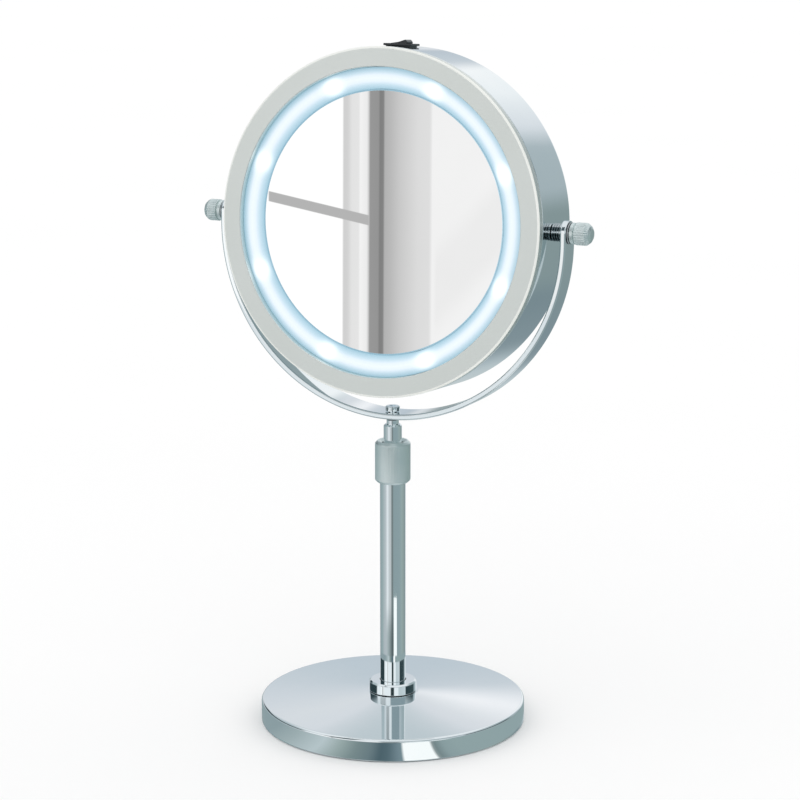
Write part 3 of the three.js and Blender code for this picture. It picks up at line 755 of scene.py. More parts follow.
FINISHES = {
    "polished_chrome": polished_chrome(),
    "satin_chrome": satin_chrome(),
    "satin_ring": satin_ring(),
    "plain_steel": plain_steel(),
    "grooved_steel": grooved_steel(),
    "brass": brass(),
    "cast_iron": cast_iron(),
    "rubber": rubber(),
    "black_plastic": moulded("black_plastic", shade(7, 15, 18), shade(14, 24, 28), 0.1, 1800, 0.08, coat=0.3),
    "door_plastic": moulded("door_plastic", shade(168, 173, 177), shade(180, 184, 188), 0.3, 1500, 0.12, 0.55),
    "white_plastic": moulded("white_plastic", shade(226, 227, 226), shade(238, 238, 236), 0.42, 1300, 0.15),
    "frosted_light": frosted_light(),
    "mirror": mirror_silver(),
    "lamp_board": lamp_board(),
    "lamp": lamp_body(),
    "phosphor": phosphor(),
    "cell": cell_jacket(),
    "red_lead": moulded("red_lead", shade(158, 30, 26), shade(186, 42, 34), 0.3, 2600, 0.1),
    "black_lead": moulded("black_lead", shade(18, 18, 20), shade(32, 32, 34), 0.3, 2600, 0.1),
}
CHROME = FINISHES["polished_chrome"]


# ---------------------------------------------------------------- patterns


def knurl_pattern():
    """Straight ridges cut into a turned grip between two heights, running out at both ends."""
    pattern = Pattern("knurl", "Ridges", "Depth", "Low", "High", "Run", "Inner Radius")
    across, deep, up = pattern.split(pattern.node("GeometryNodeInputPosition", {}))
    radius = pattern.maths("SQRT", across * across + deep * deep)
    angle = pattern.maths("ARCTAN2", deep, across)
    groove = 0.5 - 0.5 * pattern.maths("COSINE", angle * pattern["Ridges"])
    start = pattern.rise(up, pattern["Low"], pattern["Low"] + pattern["Run"])
    end = pattern.rise(up, pattern["High"] - pattern["Run"], pattern["High"])
    skin = pattern.rise(radius, pattern["Inner Radius"], pattern["Inner Radius"] + 0.01)
    cut = groove * start * (1 - end) * skin * pattern["Depth"] / pattern.maths("MAXIMUM", radius, 0.1)
    inward = pattern.joined(0 - across * cut, 0 - deep * cut, 0.0)
    source = pattern["Geometry"]
    pattern.close(pattern.node("GeometryNodeSetPosition", {"Geometry": source, "Offset": inward}), pattern["Finish"])
    return pattern


def strap_pattern():
    """A flat strap swept down one side, round the arc and up the other side."""
    pattern = Pattern(
        "strap",
        "Stations",
        "Middle Radius",
        "Centre Height",
        "Rise",
        "Foot Half Width",
        "Foot Height",
        "Eye Radius",
        "Pivot Height",
        "Thickness",
        "Edge",
    )
    line = pattern.node("GeometryNodeMeshLine", {"Count": pattern["Stations"]})
    even = pattern.node("GeometryNodeInputIndex", {}) / (pattern["Stations"] - 1)
    step = even - 0.98 * pattern.maths("SINE", even * 2 * math.pi) / (2 * math.pi)
    arc = pattern["Middle Radius"] * math.pi
    run = step * (arc + 2 * pattern["Rise"])
    angle = pattern.maths("MINIMUM", pattern.maths("MAXIMUM", (run - pattern["Rise"]) / pattern["Middle Radius"]), math.pi)
    before = pattern.maths("MAXIMUM", pattern["Rise"] - run)
    after = pattern.maths("MAXIMUM", run - pattern["Rise"] - arc)
    up = pattern["Centre Height"] + before + after - pattern["Middle Radius"] * pattern.maths("SINE", angle)
    across = 0 - pattern["Middle Radius"] * pattern.maths("COSINE", angle)
    place = pattern.joined(across, 0.0, up)
    path = pattern.node("GeometryNodeSetPosition", {"Geometry": line, "Position": place})
    path = pattern.node("GeometryNodeMeshToCurve", {0: path})
    sizes = {"Width": pattern["Thickness"], "Height": 2 * pattern["Foot Half Width"]}
    section = pattern.node("GeometryNodeCurvePrimitiveQuadrilateral", sizes)
    sockets = {"Curve": section, "Count": 6, "Radius": pattern["Edge"]}
    section = pattern.node("GeometryNodeFilletCurve", sockets, mode="POLY")
    strap = pattern.node("GeometryNodeCurveToMesh", {"Curve": path, "Profile Curve": section, "Fill Caps": True})

    across, deep, up = pattern.split(pattern.node("GeometryNodeInputPosition", {}))
    below = pattern.maths("MAXIMUM", pattern["Pivot Height"] - up)
    above = pattern.maths("MAXIMUM", up - pattern["Pivot Height"])
    eye = pattern["Eye Radius"]
    widen = (pattern["Foot Half Width"] - eye) * below / (pattern["Pivot Height"] - pattern["Foot Height"])
    cap = pattern.maths("SQRT", pattern.maths("MAXIMUM", eye * eye - above * above)) / eye
    share = (eye + widen) * cap / pattern["Foot Half Width"]
    shaped = pattern.joined(across, deep * share, up)
    strap = pattern.node("GeometryNodeSetPosition", {"Geometry": strap, "Position": shaped})
    strap = pattern.node("GeometryNodeMergeByDistance", {"Geometry": strap, "Distance": 0.002})
    pattern.close(strap, pattern["Finish"])
    return pattern


def spring_pattern():
    """A coil that narrows from its foot to its head."""
    pattern = Pattern("spring", "Turns", "Foot Radius", "Head Radius", "Height", "Wire Radius")
    coil = pattern.node("GeometryNodeCurveSpiral", {
        "Resolution": 40,
        "Rotations": pattern["Turns"],
        "Start Radius": pattern["Foot Radius"],
        "End Radius": pattern["Head Radius"],
        "Height": pattern["Height"],
    })
    wire = pattern.node("GeometryNodeCurvePrimitiveCircle", {"Resolution": 12, "Radius": pattern["Wire Radius"]})
    spring = pattern.node("GeometryNodeCurveToMesh", {"Curve": coil, "Profile Curve": wire, "Fill Caps": True})
    pattern.close(spring, pattern["Finish"])
    return pattern


def circle_pattern():
    """Copies of the piece set round a circle about Y, each turned to face along its own radius."""
    pattern = Pattern("circle", "Count", "Start", "Reach", finishes=())
    line = pattern.node("GeometryNodeMeshLine", {"Count": pattern["Count"], "Offset": (0, 0, 0)})
    turn = (pattern.node("GeometryNodeInputIndex", {}) + pattern["Start"]) * 2 * math.pi / pattern["Count"]
    across = pattern["Reach"] * pattern.maths("SINE", turn)
    up = pattern["Reach"] * pattern.maths("COSINE", turn)
    place = pattern.joined(across, 0.0, up)
    points = pattern.node("GeometryNodeSetPosition", {"Geometry": line, "Position": place})
    sockets = {"Points": points, "Instance": pattern["Geometry"], "Rotation": pattern.joined(0.0, turn, 0.0)}
    pattern.close(pattern.node("GeometryNodeInstanceOnPoints", sockets))
    return pattern


def rib_pattern():
    """A row of the same rib."""
    pattern = Pattern("ribs", "Count", "Pitch")
    offset = pattern.joined(0.0, 0.0, pattern["Pitch"])
    line = pattern.node("GeometryNodeMeshLine", {"Count": pattern["Count"], "Offset": offset})
    ribs = pattern.node("GeometryNodeInstanceOnPoints", {"Points": line, "Instance": pattern["Geometry"]})
    pattern.close(ribs, pattern["Finish"])
    return pattern


KNURL = knurl_pattern()


# ---------------------------------------------------------------- base and post


def make_base_shell():
    """A spun steel cover: flat land in the middle, a shallow cone, and a rounded rim."""
    low, high = span("base_shell")
    hole = 3.3
    land = span("foot_collar")[1][0] + LAND_MARGIN
    inner = high[0] - SHELL_WALL
    outline = rounded([
        (hole, high[2]),
        (land, high[2], 6),
        (high[0], RIM_HEIGHT - 0.1, RIM_ROUND),
        (high[0], low[2], 0.3),
        (inner, low[2]),
        (inner, RIM_HEIGHT - SHELL_WALL - RIM_ROUND),
        (inner - RIM_ROUND, RIM_HEIGHT - SHELL_WALL),
        (land, high[2] - SHELL_WALL),
        (hole, high[2] - SHELL_WALL),
    ], 8)
    settle(turned("base_cover", outline, BASE_SIDES, CHROME), "base", "polished_chrome", "base_shell")


def make_base_pad():
    low, high = span("base_pad")
    outline = rounded([(0, low[2]), (high[0], low[2], 0.6), (high[0], high[2], 0.4), (0, high[2])])
    settle(turned("base_foam", outline, BASE_SIDES, FINISHES["rubber"]), "base", "rubber", "base_pad")


def make_foot_collar():
    low, high = span("foot_collar")
    bore = span("outer_tube")[1][0] + GAP
    outline = rounded([
        (bore, low[2]),
        (high[0], low[2], EDGE),
        (high[0], high[2] - FOOT_EDGE, 0.35),
        (high[0] - FOOT_EDGE, high[2], 0.35),
        (bore, high[2], 0.15),
    ])
    settle(turned("foot_ring", outline, POST_SIDES, CHROME), "base", "polished_chrome", "foot_collar")


def make_outer_tube():
    low, high = span("outer_tube")
    bore = high[0] - TUBE_WALL
    outline = rounded([
        (bore, low[2], 0.2),
        (high[0], low[2], EDGE),
        (high[0], high[2], EDGE),
        (bore, high[2], 0.2),
    ])
    settle(turned("post_tube", outline, POST_SIDES, CHROME), "base", "polished_chrome", "outer_tube")


def make_clamp_collar():
    """The turning collar: rounded shoulders, a fine straight knurl and a dished top about the rod."""
    low, high = span("clamp_collar")
    bore = span("outer_tube")[1][0] + GAP
    lip = span("inner_rod")[1][0] + 1
    top = high[2]
    grip = (low[2] + COLLAR_SHOULDER, top - COLLAR_SHOULDER)
    outline = rounded([
        (bore, low[2], 0.2),
        (high[0] - 1.3, low[2], 0.5),
        (high[0], low[2] + 1.3, 0.9),
        (high[0], top - 1.3, 0.9),
        (high[0] - 1.2, top, 0.45),
        (high[0] - 1.2 - COLLAR_LIP_WIDTH / 2, top, 0.3),
        (lip, top - COLLAR_DISH, 0.15),
        (lip, top - 2.3),
        (bore, top - 3.9),
    ])
    collar = turned("clamp_collar_grip", outline, COLLAR_RIDGES * RIDGE_STEPS, FINISHES["satin_chrome"])
    KNURL.run(
        collar,
        ridges=float(COLLAR_RIDGES),
        depth=RIDGE_DEPTH,
        low=grip[0] - 0.4,
        high=grip[1] + 0.4,
        run=0.5,
        inner_radius=high[0] - 0.5,
        finish=FINISHES["satin_chrome"],
    )
    settle(collar, "collar", "satin_chrome", "clamp_collar", sharp=50)


def make_inner_rod():
    """The sliding rod, with its turned neck and the stem that carries the bow."""
    low, high = span("inner_rod")
    radius = high[0]
    tail = radius - 0.7
    stem = radius - STEM_STEP
    neck_top = high[2] - STEM_HEIGHT
    bore = span("bow_screw")[0][2] - GAP
    screw = stem - 0.9
    outline = rounded([
        (0, low[2]),
        (tail, low[2], EDGE),
        (tail, low[2] + 8),
        (radius, low[2] + 8, EDGE),
        (radius, neck_top - NECK_CHAMFER, 0.25),
        (radius - NECK_CHAMFER, neck_top, 0.2),
        (stem, neck_top),
        (stem, high[2], 0.2),
        (screw, high[2]),
        (screw, bore),
        (0, bore),
    ])
    settle(turned("sliding_rod", outline, POST_SIDES, CHROME), "rod", "polished_chrome", "inner_rod")


def make_swivel_washer():
    low, high = span("swivel_washer")
    bore = high[0] - 0.9
    outline = rounded([
        (bore, low[2], 0.1),
        (high[0], low[2], 0.2),
        (high[0], high[2], 0.2),
        (bore, high[2], 0.1),
    ])
    washer = turned("swivel_seat", outline, POST_SIDES, FINISHES["black_plastic"])
    settle(washer, "rod", "black_plastic", "swivel_washer")


def make_bow_screw():
    """The screw that holds the bow: a cheese head with a hexagon socket."""
    low, high = span("bow_screw")
    shank = span("inner_rod")[1][0] - STEM_STEP - 0.9 - GAP
    head = high[0]
    seat = span("bow")[0][2] + 2.9 + GAP
    outline = rounded([
        (0, low[2]),
        (shank, low[2], 0.2),
        (shank, seat),
        (head, seat, 0.15),
        (head, high[2], 0.45),
        (0, high[2]),
    ])
    screw = turned("bow_fixing_screw", outline, POST_SIDES, CHROME)
    socket = post("socket", SCREW_DISH_RADIUS, high[2] - SCREW_DISH_DEPTH, high[2] + 1, 6)
    settle(carve(screw, [socket]), "rod", "polished_chrome", "bow_screw")


def make_bow():
    """The bow that carries the head: a bent flat strap, narrowing up to its two round eyes."""
    low, high = span("bow")
    pivot = HEAD.to_translation().z
    thickness = 2.9
    middle = high[0] - thickness / 2
    centre = low[2] + high[0]
    bow = new_piece("bow_strap", bpy.data.meshes.new("bow_strap"))
    strap_pattern().run(
        bow,
        stations=700.0,
        middle_radius=middle,
        centre_height=centre,
        rise=high[2] - centre,
        foot_half_width=high[1],
        foot_height=low[2],
        eye_radius=EYE_RADIUS,
        pivot_height=pivot,
        thickness=thickness,
        edge=STRAP_EDGE,
        finish=CHROME,
    )
    eyes = placed(post("eyes", 2.3, -high[0] - 1, high[0] + 1, 48), Matrix.Translation((0, 0, pivot)) @ ALONG_X[1])
    hole = post("hole", 2.2, low[2] - 1, low[2] + 20, 48)
    carve(bow, [eyes, hole])
    bow.data.materials.clear()
    bow.data.materials.append(CHROME)
    flats_kept(bow)
    settle(bow, "bow", "polished_chrome", "bow")


# ---------------------------------------------------------------- head


def make_drum():
    """The deep drawn housing, open at the front, with its openings for switch, pivots and battery door."""
    low, high = span("drum_housing", HEAD)
    radius = high[0]
    back = high[1]
    bore = radius - DRUM_WALL
    outline = rounded([
        (0, back),
        (radius, back, DRUM_EDGE),
        (radius, low[1], 0.25),
        (bore, low[1]),
        (bore, back - DRUM_WALL),
        (0, back - DRUM_WALL),
    ], 9, 0.4)
    drum = placed(turned("drum", outline, HEAD_SIDES, CHROME), ALONG_Y)
    switch_low, switch_high = span("switch_body", HEAD)
    slit = GAP - 1
    tools = [block(
        "switch_opening",
        (switch_low[0] - slit, switch_low[1] - slit, radius - 4),
        (switch_high[0] + slit, switch_high[1] + slit, radius + 2),
    )]
    door_low, door_high = span("battery_door", HEAD)
    panel = door_high[0] - 1.5
    tools.append(block(
        "door_opening",
        (-panel - GAP, back - 3, door_low[2] - GAP),
        (panel + GAP, back + 3, door_high[2] + GAP),
    ))
    tools.append(block(
        "pin_slots",
        (-door_high[0] - GAP, back - 3, door_low[2] - 0.05),
        (door_high[0] + GAP, back + 3, door_low[2] + 1.55),
    ))
    tools.append(placed(post("pivots", 2.3, -radius - 2, radius + 2, 48), ALONG_X[1]))
    settle(carve(drum, tools), "head", "polished_chrome", "drum_housing", place=HEAD)


def make_bezel():
    """The satin face ring, with a skirt inside the drum and an inner wall beside the light ring."""
    low, high = span("front_bezel", HEAD)
    radius = high[0]
    face = low[1]
    skirt = radius - DRUM_WALL - GAP
    inner = radius - BEZEL_WIDTH
    outline = rounded([
        (inner, face, 0.35),
        (radius, face, BEZEL_EDGE),
        (radius, face + BEZEL_LIP, 0.25),
        (skirt, face + BEZEL_LIP),
        (skirt, high[1]),
        (skirt - DRUM_WALL, high[1]),
        (skirt - DRUM_WALL, face + DRUM_WALL),
        (inner + DRUM_WALL, face + DRUM_WALL),
        (inner + DRUM_WALL, face + BEZEL_INNER_WALL),
        (inner, face + BEZEL_INNER_WALL),
    ], 6)
    bezel = placed(turned("face_ring", outline, HEAD_SIDES, FINISHES["satin_ring"]), ALONG_Y)
    settle(bezel, "head", "satin_ring", "front_bezel", place=HEAD)


def make_light_ring():
    """The frosted ring: a bulging front between two short walls, open behind over the lamps."""
    low, high = span("light_ring", HEAD)
    outer = high[0]
    inner = outer - LIGHT_WIDTH
    front = span("mirror_glass", HEAD)[0][1]
    steps = 20
    face = []
    behind = []
    for i in range(steps + 1):
        share = i / steps
        height = front - LIGHT_RISE * share - LIGHT_BULGE * math.sin(math.pi * share)
        face.append((inner + LIGHT_WIDTH * share, height))
        behind.append((inner + LIGHT_WALL + (LIGHT_WIDTH - 2 * LIGHT_WALL) * share, height + LIGHT_WALL))
    rear = high[1]
    outline = [
        *face,
        (outer, rear),
        (outer - LIGHT_WALL, rear),
        *reversed(behind),
        (inner + LIGHT_WALL, rear),
        (inner, rear),
    ]
    light = placed(turned("light_diffuser", outline, HEAD_SIDES, FINISHES["frosted_light"]), ALONG_Y)
    settle(light, "head", "frosted_light", "light_ring", place=HEAD)


def make_mirror_glass():
    low, high = span("mirror_glass", HEAD)
    radius = high[0]
    outline = [
        (0, low[1]),
        (radius - MIRROR_BEVEL - 0.1, low[1]),
        (radius - MIRROR_BEVEL, low[1]),
        (radius, low[1] + MIRROR_BEVEL),
        (radius, high[1]),
        (0, high[1]),
    ]
    glass = placed(turned("mirror_disc", outline, HEAD_SIDES, FINISHES["mirror"]), ALONG_Y)
    settle(glass, "head", "mirror", "mirror_glass", place=HEAD, sharp=20)


def make_lamps():
    """The lamps on their board: a moulded body with a round window of phosphor."""
    nodes = sorted(node for node in NODES if node.startswith("lamp_") and node != "lamp_board")
    board_low, board_high = span("lamp_board", HEAD)
    reach = span("light_ring", HEAD)[1][0] - LIGHT_WIDTH / 2
    back = board_low[1] - GAP
    body = block("lamps", (-2.3, back - 1.5, -2.3), (2.3, back, 2.3), FINISHES["lamp"])
    softened(body, 0.25, 3)
    outline = [(0, 0), (1.75, 0), (1.6, 0.25), (0, 0.3)]
    window = placed(turned("window", outline, 48, FINISHES["phosphor"]), Matrix.Translation((0, back - 1.2, 0)) @ ALONG_Y)
    merged(body, window)
    circle_pattern().run(body, count=float(len(nodes)), start=0.5, reach=reach)
    settle(body, "head", "lamp", *nodes, place=HEAD)


def make_cells():
    """Three cells head to tail, crimped at both ends, and the coil springs that press them."""
    coil = spring_pattern()
    for number in (1, 2, 3):
        low, high = span(f"cell_{number}", HEAD)
        spring_low, spring_high = span(f"contact_spring_{number}", HEAD)
        centre = (low + high) / 2
        radius = (high[0] - low[0]) / 2
        up = 1 if number != 2 else -1
        length = high[2] - low[2]
        outline = rounded([
            (0, -length / 2 + 0.3),
            (radius - 2.2, -length / 2 + 0.3),
            (radius - 2.4, -length / 2),
            (radius, -length / 2, 0.7),
            (radius, length / 2 - 1.2, 0.6),
            (radius - 0.9, length / 2 - 1.2),
            (radius - 1.4, length / 2 - 1.6),
            (2.7, length / 2 - 1.3),
            (2.7, length / 2, 0.3),
            (0, length / 2),
        ])
        turn = Matrix.Identity(4) if up > 0 else Matrix.Rotation(math.pi, 4, "X")
        place = HEAD @ Matrix.Translation(centre) @ turn
        cell = turned(f"dry_cell_{number}", outline, 96, FINISHES["cell"])
        settle(cell, "head", "cell", f"cell_{number}", place=place)

        height = spring_high[2] - spring_low[2]
        wire = 0.35
        spring = new_piece(f"coil_{number}", bpy.data.meshes.new(f"coil_{number}"))
        coil.run(
            spring,
            turns=2.5,
            foot_radius=3.2,
            head_radius=2.1,
            height=height - 2 * wire - 0.1,
            wire_radius=wire,
            finish=FINISHES["plain_steel"],
        )
        foot = spring_low[2] if up > 0 else spring_high[2]
        place = HEAD @ Matrix.Translation((centre[0], centre[1], foot)) @ turn @ Matrix.Translation((0, 0, wire + 0.05))
        settle(spring, "head", "plain_steel", f"contact_spring_{number}", place=place, sharp=60)


def make_battery_door():
    """The hinged door in the back: a hinge edge with two pins, a thumb tab and grip ribs."""
    finish = FINISHES["door_plastic"]
    low, high = span("battery_door", HEAD)
    back = span("drum_housing", HEAD)[1][1]
    thick = 1.5
    half = high[0] - 1.5
    side = rounded([
        (back - thick, low[2], 0.74),
        (back, low[2], 0.74),
        (back, high[2], 0.3),
        (back - thick, high[2], 0.2),
    ], 8, 0.005)
    door = placed(extruded("door", side, 2 * half, finish), Matrix.Rotation(math.pi / 2, 4, "Z"))
    middle = back - thick / 2
    place = Matrix.Translation((0, middle, low[2] + thick / 2)) @ ALONG_X[1]
    pins = placed(post("pins", 0.5, -high[0], high[0], 32, finish), place)
    reach = half / 3
    tab_top = high[2] - 4
    tab = block("tab", (-reach, back - 0.5, tab_top - 2), (reach, high[1], tab_top), finish)
    softened(tab, 0.4, 3)
    rib = block("ribs", (-reach, back - 0.3, tab_top - 14), (reach, back + 0.35, tab_top - 13.2), finish)
    softened(rib, 0.25, 3)
    rib_pattern().run(rib, count=5.0, pitch=2.0, finish=finish)
    merged(door, pins, tab, rib)
    settle(door, "battery_door", "door_plastic", "battery_door", place=HEAD)


def make_switch():
    """The rocker switch on top of the drum: a bordered frame and a two-slope rocker, one end up."""
    finish = FINISHES["black_plastic"]
    low, high = span("switch_body", HEAD)
    top = high[2]
    centre = (low + high) / 2
    inset = Vector((1, 1, 0))
    frame_low = Vector((low[0], low[1], top - 1.1))
    frame = block("switch_frame", frame_low, high, finish)
    body_low = Vector(low) + inset
    body = block("body", body_low, (high[0] - 1, high[1] - 1, top - 0.5), finish)
    carve(frame, [body], "UNION")
    well_x = (high[0] - low[0]) / 2 - 2.5 + GAP
    well_y = 3.35 + GAP
    well = block(
        "well",
        (centre[0] - well_x, centre[1] - well_y, top - 5),
        (centre[0] + well_x, centre[1] + well_y, top + 5),
    )
    carve(frame, [well])
    softened(frame, 0.3, 4)
    settle(frame, "head", "black_plastic", "switch_body", place=HEAD)

    half = well_x - GAP
    lean = half * math.tan(math.radians(8))
    outline = rounded([
        (-half + 1.3, -1.3),
        (half - 1.3, -1.3),
        (half, 1.3, 1),
        (half - 1, 1.3 + 0.77 + lean, 0.55),
        (0, 1.3 + 0.77, 3),
        (-half + 0.8, 1.3 + 0.7, 0.4),
        (-half, 1.3, 0.5),
    ], 8)
    rocker = extruded("switch_rocker", outline, 2 * (well_y - GAP), finish)
    softened(rocker, 0.3, 4, 50)
    turn = Matrix.Rotation(-math.radians(8), 4, "Y")
    place = HEAD @ Matrix.Translation((centre[0], centre[1], top - 1.3)) @ turn
    settle(rocker, "rocker", "black_plastic", "rocker", place=place)


# ---------------------------------------------------------------- pivots


def reach_of(node, side):
    """Where a pivot piece starts and ends along its axis, outward, and its radius."""
    low, high = span(node, HEAD)
    ends = sorted((side * low[0], side * high[0]))
    return ends[0], ends[1], high[2]


def make_pivot(side, name):
    place = HEAD @ ALONG_X[side]
    bore = 2.3
    start, end, radius = reach_of(f"pivot_spacer_{name}", side)
    waist = radius - SPACER_GROOVE
    corners = [(bore, start), (radius, start, 0.25)]
    for share in (0.25, 0.5, 0.75):
        groove = start + (end - start) * share
        corners.append((radius, groove - 0.5, 0.12))
        corners.append((waist, groove - 0.2))
        corners.append((waist, groove + 0.2))
        corners.append((radius, groove + 0.5, 0.12))
    outline = rounded([*corners, (radius, end, 0.25), (bore, end)], 4, 0.03)
    # the spacer's finish carries painted shade and painted highlights
    spacer = turned(f"spacer_{name}", outline, POST_SIDES, FINISHES["grooved_steel"])
    settle(spacer, "head", "polished_chrome", f"pivot_spacer_{name}", place=place)

    start, end, radius = reach_of(f"pivot_washer_{name}", side)
    outline = rounded([
        (bore, start),
        (radius, start, 0.15),
        (radius, end, 0.15),
        (bore, end),
    ])
    washer = turned(f"washer_{name}", outline, POST_SIDES, FINISHES["plain_steel"])
    settle(washer, "head", "plain_steel", f"pivot_washer_{name}", place=place)

    start, end, radius = reach_of(f"pivot_knob_{name}", side)
    flange = start + KNOB_FLANGE
    grip = flange + KNOB_GROOVE
    floor = end - KNOB_DOME
    outline = rounded([
        (bore, start),
        (radius - 0.3, start, 0.35),
        (radius - 0.3, flange, 0.3),
        (radius - KNOB_GROOVE_DEPTH, flange + 0.1),
        (radius - KNOB_GROOVE_DEPTH, grip - 0.1),
        (radius, grip, 0.3),
        (radius, end - KNOB_DOME, 1.4),
        (radius - 1.4, end - 0.8, 0.9),
        (radius - 2.8, end, 0.7),
        (0, end),
        (0, floor),
        (bore, floor),
    ])
    knob = turned(f"knob_{name}_grip", outline, KNOB_RIDGES * RIDGE_STEPS, FINISHES["satin_chrome"])
    KNURL.run(
        knob,
        ridges=float(KNOB_RIDGES),
        depth=RIDGE_DEPTH * 1.8,
        low=grip,
        high=end - KNOB_DOME * 0.55,
        run=0.7,
        inner_radius=radius - 1,
        finish=FINISHES["satin_chrome"],
    )
    settle(knob, f"knob_{name}", "satin_chrome", f"pivot_knob_{name}", place=place, sharp=50)


# ---------------------------------------------------------------- room

TO_VIEWER = (0.4325, -0.9016, 0)
TO_RIGHT = (0.9016, 0.4325, 0)

# What the polished plate reflects, as (degrees round from the viewer towards the right, display colour).
LOW_ROOM = [
    (-180, (150, 162, 164)),
    (-137, (145, 160, 165)),
    (-110, (150, 168, 170)),
    (-80, (174, 185, 188)),
    (-62, (192, 198, 202)),
    (-54, (226, 231, 234)),
    (-44, (222, 228, 231)),
    (-32, (192, 197, 200)),
    (-22, (197, 203, 205)),
    (-12, (150, 158, 160)),
    (-5, (100, 112, 113)),
    (3, (132, 146, 148)),
    (10, (138, 156, 160)),
    (60, (140, 158, 162)),
    (90, (150, 167, 166)),
    (120, (140, 154, 153)),
    (142, (128, 145, 148)),
    (165, (178, 191, 196)),
    (180, (190, 200, 202)),
]
HIGH_ROOM = [
    (-180, (216, 220, 224)),
    (-160, (206, 211, 216)),
    (-150, (52, 66, 70)),
    (-86, (44, 60, 64)),
    (-80, (240, 243, 245)),
    (-12, (240, 243, 245)),
    (-8.5, (44, 58, 60)),
    (4, (44, 58, 60)),
    (7.5, (240, 244, 246)),
    (24, (240, 244, 246)),
    (30, (196, 206, 209)),
    (62, (204, 214, 218)),
    (66, (44, 60, 64)),
    (118, (60, 76, 80)),
    (126, (160, 174, 178)),
    (139, (168, 181, 186)),
    (144, (216, 221, 226)),
    (156, (238, 241, 243)),
    (168, (243, 245, 246)),
    (178, (222, 225, 230)),
    (180, (216, 220, 224)),
]
SOFT_ROOM = [
    (-180, (216, 220, 224)),
    (-160, (206, 211, 216)),
    (-140, (180, 191, 196)),
    (-105, (168, 181, 186)),
    (-80, (205, 212, 216)),
    (-50, (230, 233, 236)),
    (-12, (222, 227, 230)),
    (8, (196, 205, 209)),
    (50, (210, 216, 220)),
    (80, (172, 184, 189)),
    (120, (156, 170, 174)),
    (139, (168, 181, 186)),
    (144, (216, 221, 226)),
    (156, (238, 241, 243)),
    (168, (243, 245, 246)),
    (178, (222, 225, 230)),
    (180, (216, 220, 224)),
]
BEHIND = [
    (0, (150, 164, 168)),
    (9, (186, 196, 205)),
    (12, (190, 200, 208)),
    (15, (197, 205, 212)),
    (19, (208, 213, 219)),
    (23, (217, 220, 224)),
    (25, (216, 219, 224)),
    (26.5, (190, 200, 205)),
    (40, (190, 198, 203)),
]
TABLE_EDGE = [
    (-180, (140, 156, 160)),
    (-72, (142, 158, 162)),
    (-56, (160, 174, 176)),
    (-38, (186, 198, 201)),
    (-28, (154, 169, 168)),
    (-19, (122, 139, 140)),
    (-11, (106, 124, 129)),
    (-6, (77, 98, 106)),
    (-2, (85, 106, 114)),
    (3, (115, 135, 143)),
    (4.8, (120, 140, 146)),
    (5.4, (252, 254, 253)),
    (20.4, (252, 254, 253)),
    (21.2, (112, 128, 130)),
    (27, (140, 158, 160)),
    (34, (145, 163, 164)),
    (180, (142, 160, 164)),
]
TABLE_BEYOND = [
    (-180, (150, 164, 168)),
    (-60, (180, 188, 192)),
    (-48, (170, 182, 184)),
    (-30, (146, 158, 160)),
    (-13, (108, 120, 122)),
    (-4, (86, 98, 99)),
    (7, (100, 112, 114)),
    (8.5, (250, 254, 254)),
    (36, (250, 254, 254)),
    (37, (140, 156, 160)),
    (180, (140, 156, 160)),
]
WINDOW = [
    (-180, (255, 255, 255)),
    (-38, (255, 255, 255)),
    (-36.6, (206, 206, 206)),
    (-33, (208, 208, 208)),
    (-30, (224, 224, 224)),
    (-23.5, (226, 226, 226)),
    (-22.5, (240, 240, 240)),
    (-16, (232, 232, 232)),
    (-14.5, (150, 150, 150)),
    (-7, (147, 147, 147)),
    (-6, (126, 126, 126)),
    (-2.6, (130, 130, 130)),
    (-1.4, (176, 176, 176)),
    (4, (184, 184, 184)),
    (11, (198, 198, 198)),
    (19, (208, 208, 208)),
    (27, (217, 217, 217)),
    (37.5, (220, 220, 220)),
    (38.8, (239, 239, 239)),
    (180, (242, 242, 242)),
]
GLOW = 1.06  # a little over 1, for what the plate itself takes away


def turned_to(graph, place):
    """Degrees round from the viewer, and the height over the level, of a place seen from the middle."""
    facing = graph.vector("DOT_PRODUCT", place, TO_VIEWER, 1)
    right = graph.vector("DOT_PRODUCT", place, TO_RIGHT, 1)
    round_about = graph.maths("ARCTAN2", right, facing) * math.degrees(1)
    _, _, up = graph.split(graph.vector("NORMALIZE", place))
    return round_about, graph.maths("ARCSINE", up) * math.degrees(1)


def colours_round(graph, value, stops, reach=180):
    return graph.ramp(value / (2 * reach) + 0.5, [(stop / (2 * reach) + 0.5, shade(*tone)) for stop, tone in stops])


def glowing(graph, colour):
    light = graph.node("ShaderNodeEmission", {"Color": colour, "Strength": GLOW})
    graph.node("ShaderNodeOutputMaterial", {"Surface": light})


def only_reflected(thing):
    thing.visible_camera = False
    thing.visible_diffuse = False
    thing.visible_transmission = False
    thing.visible_volume_scatter = False
    thing.visible_shadow = False
    return thing


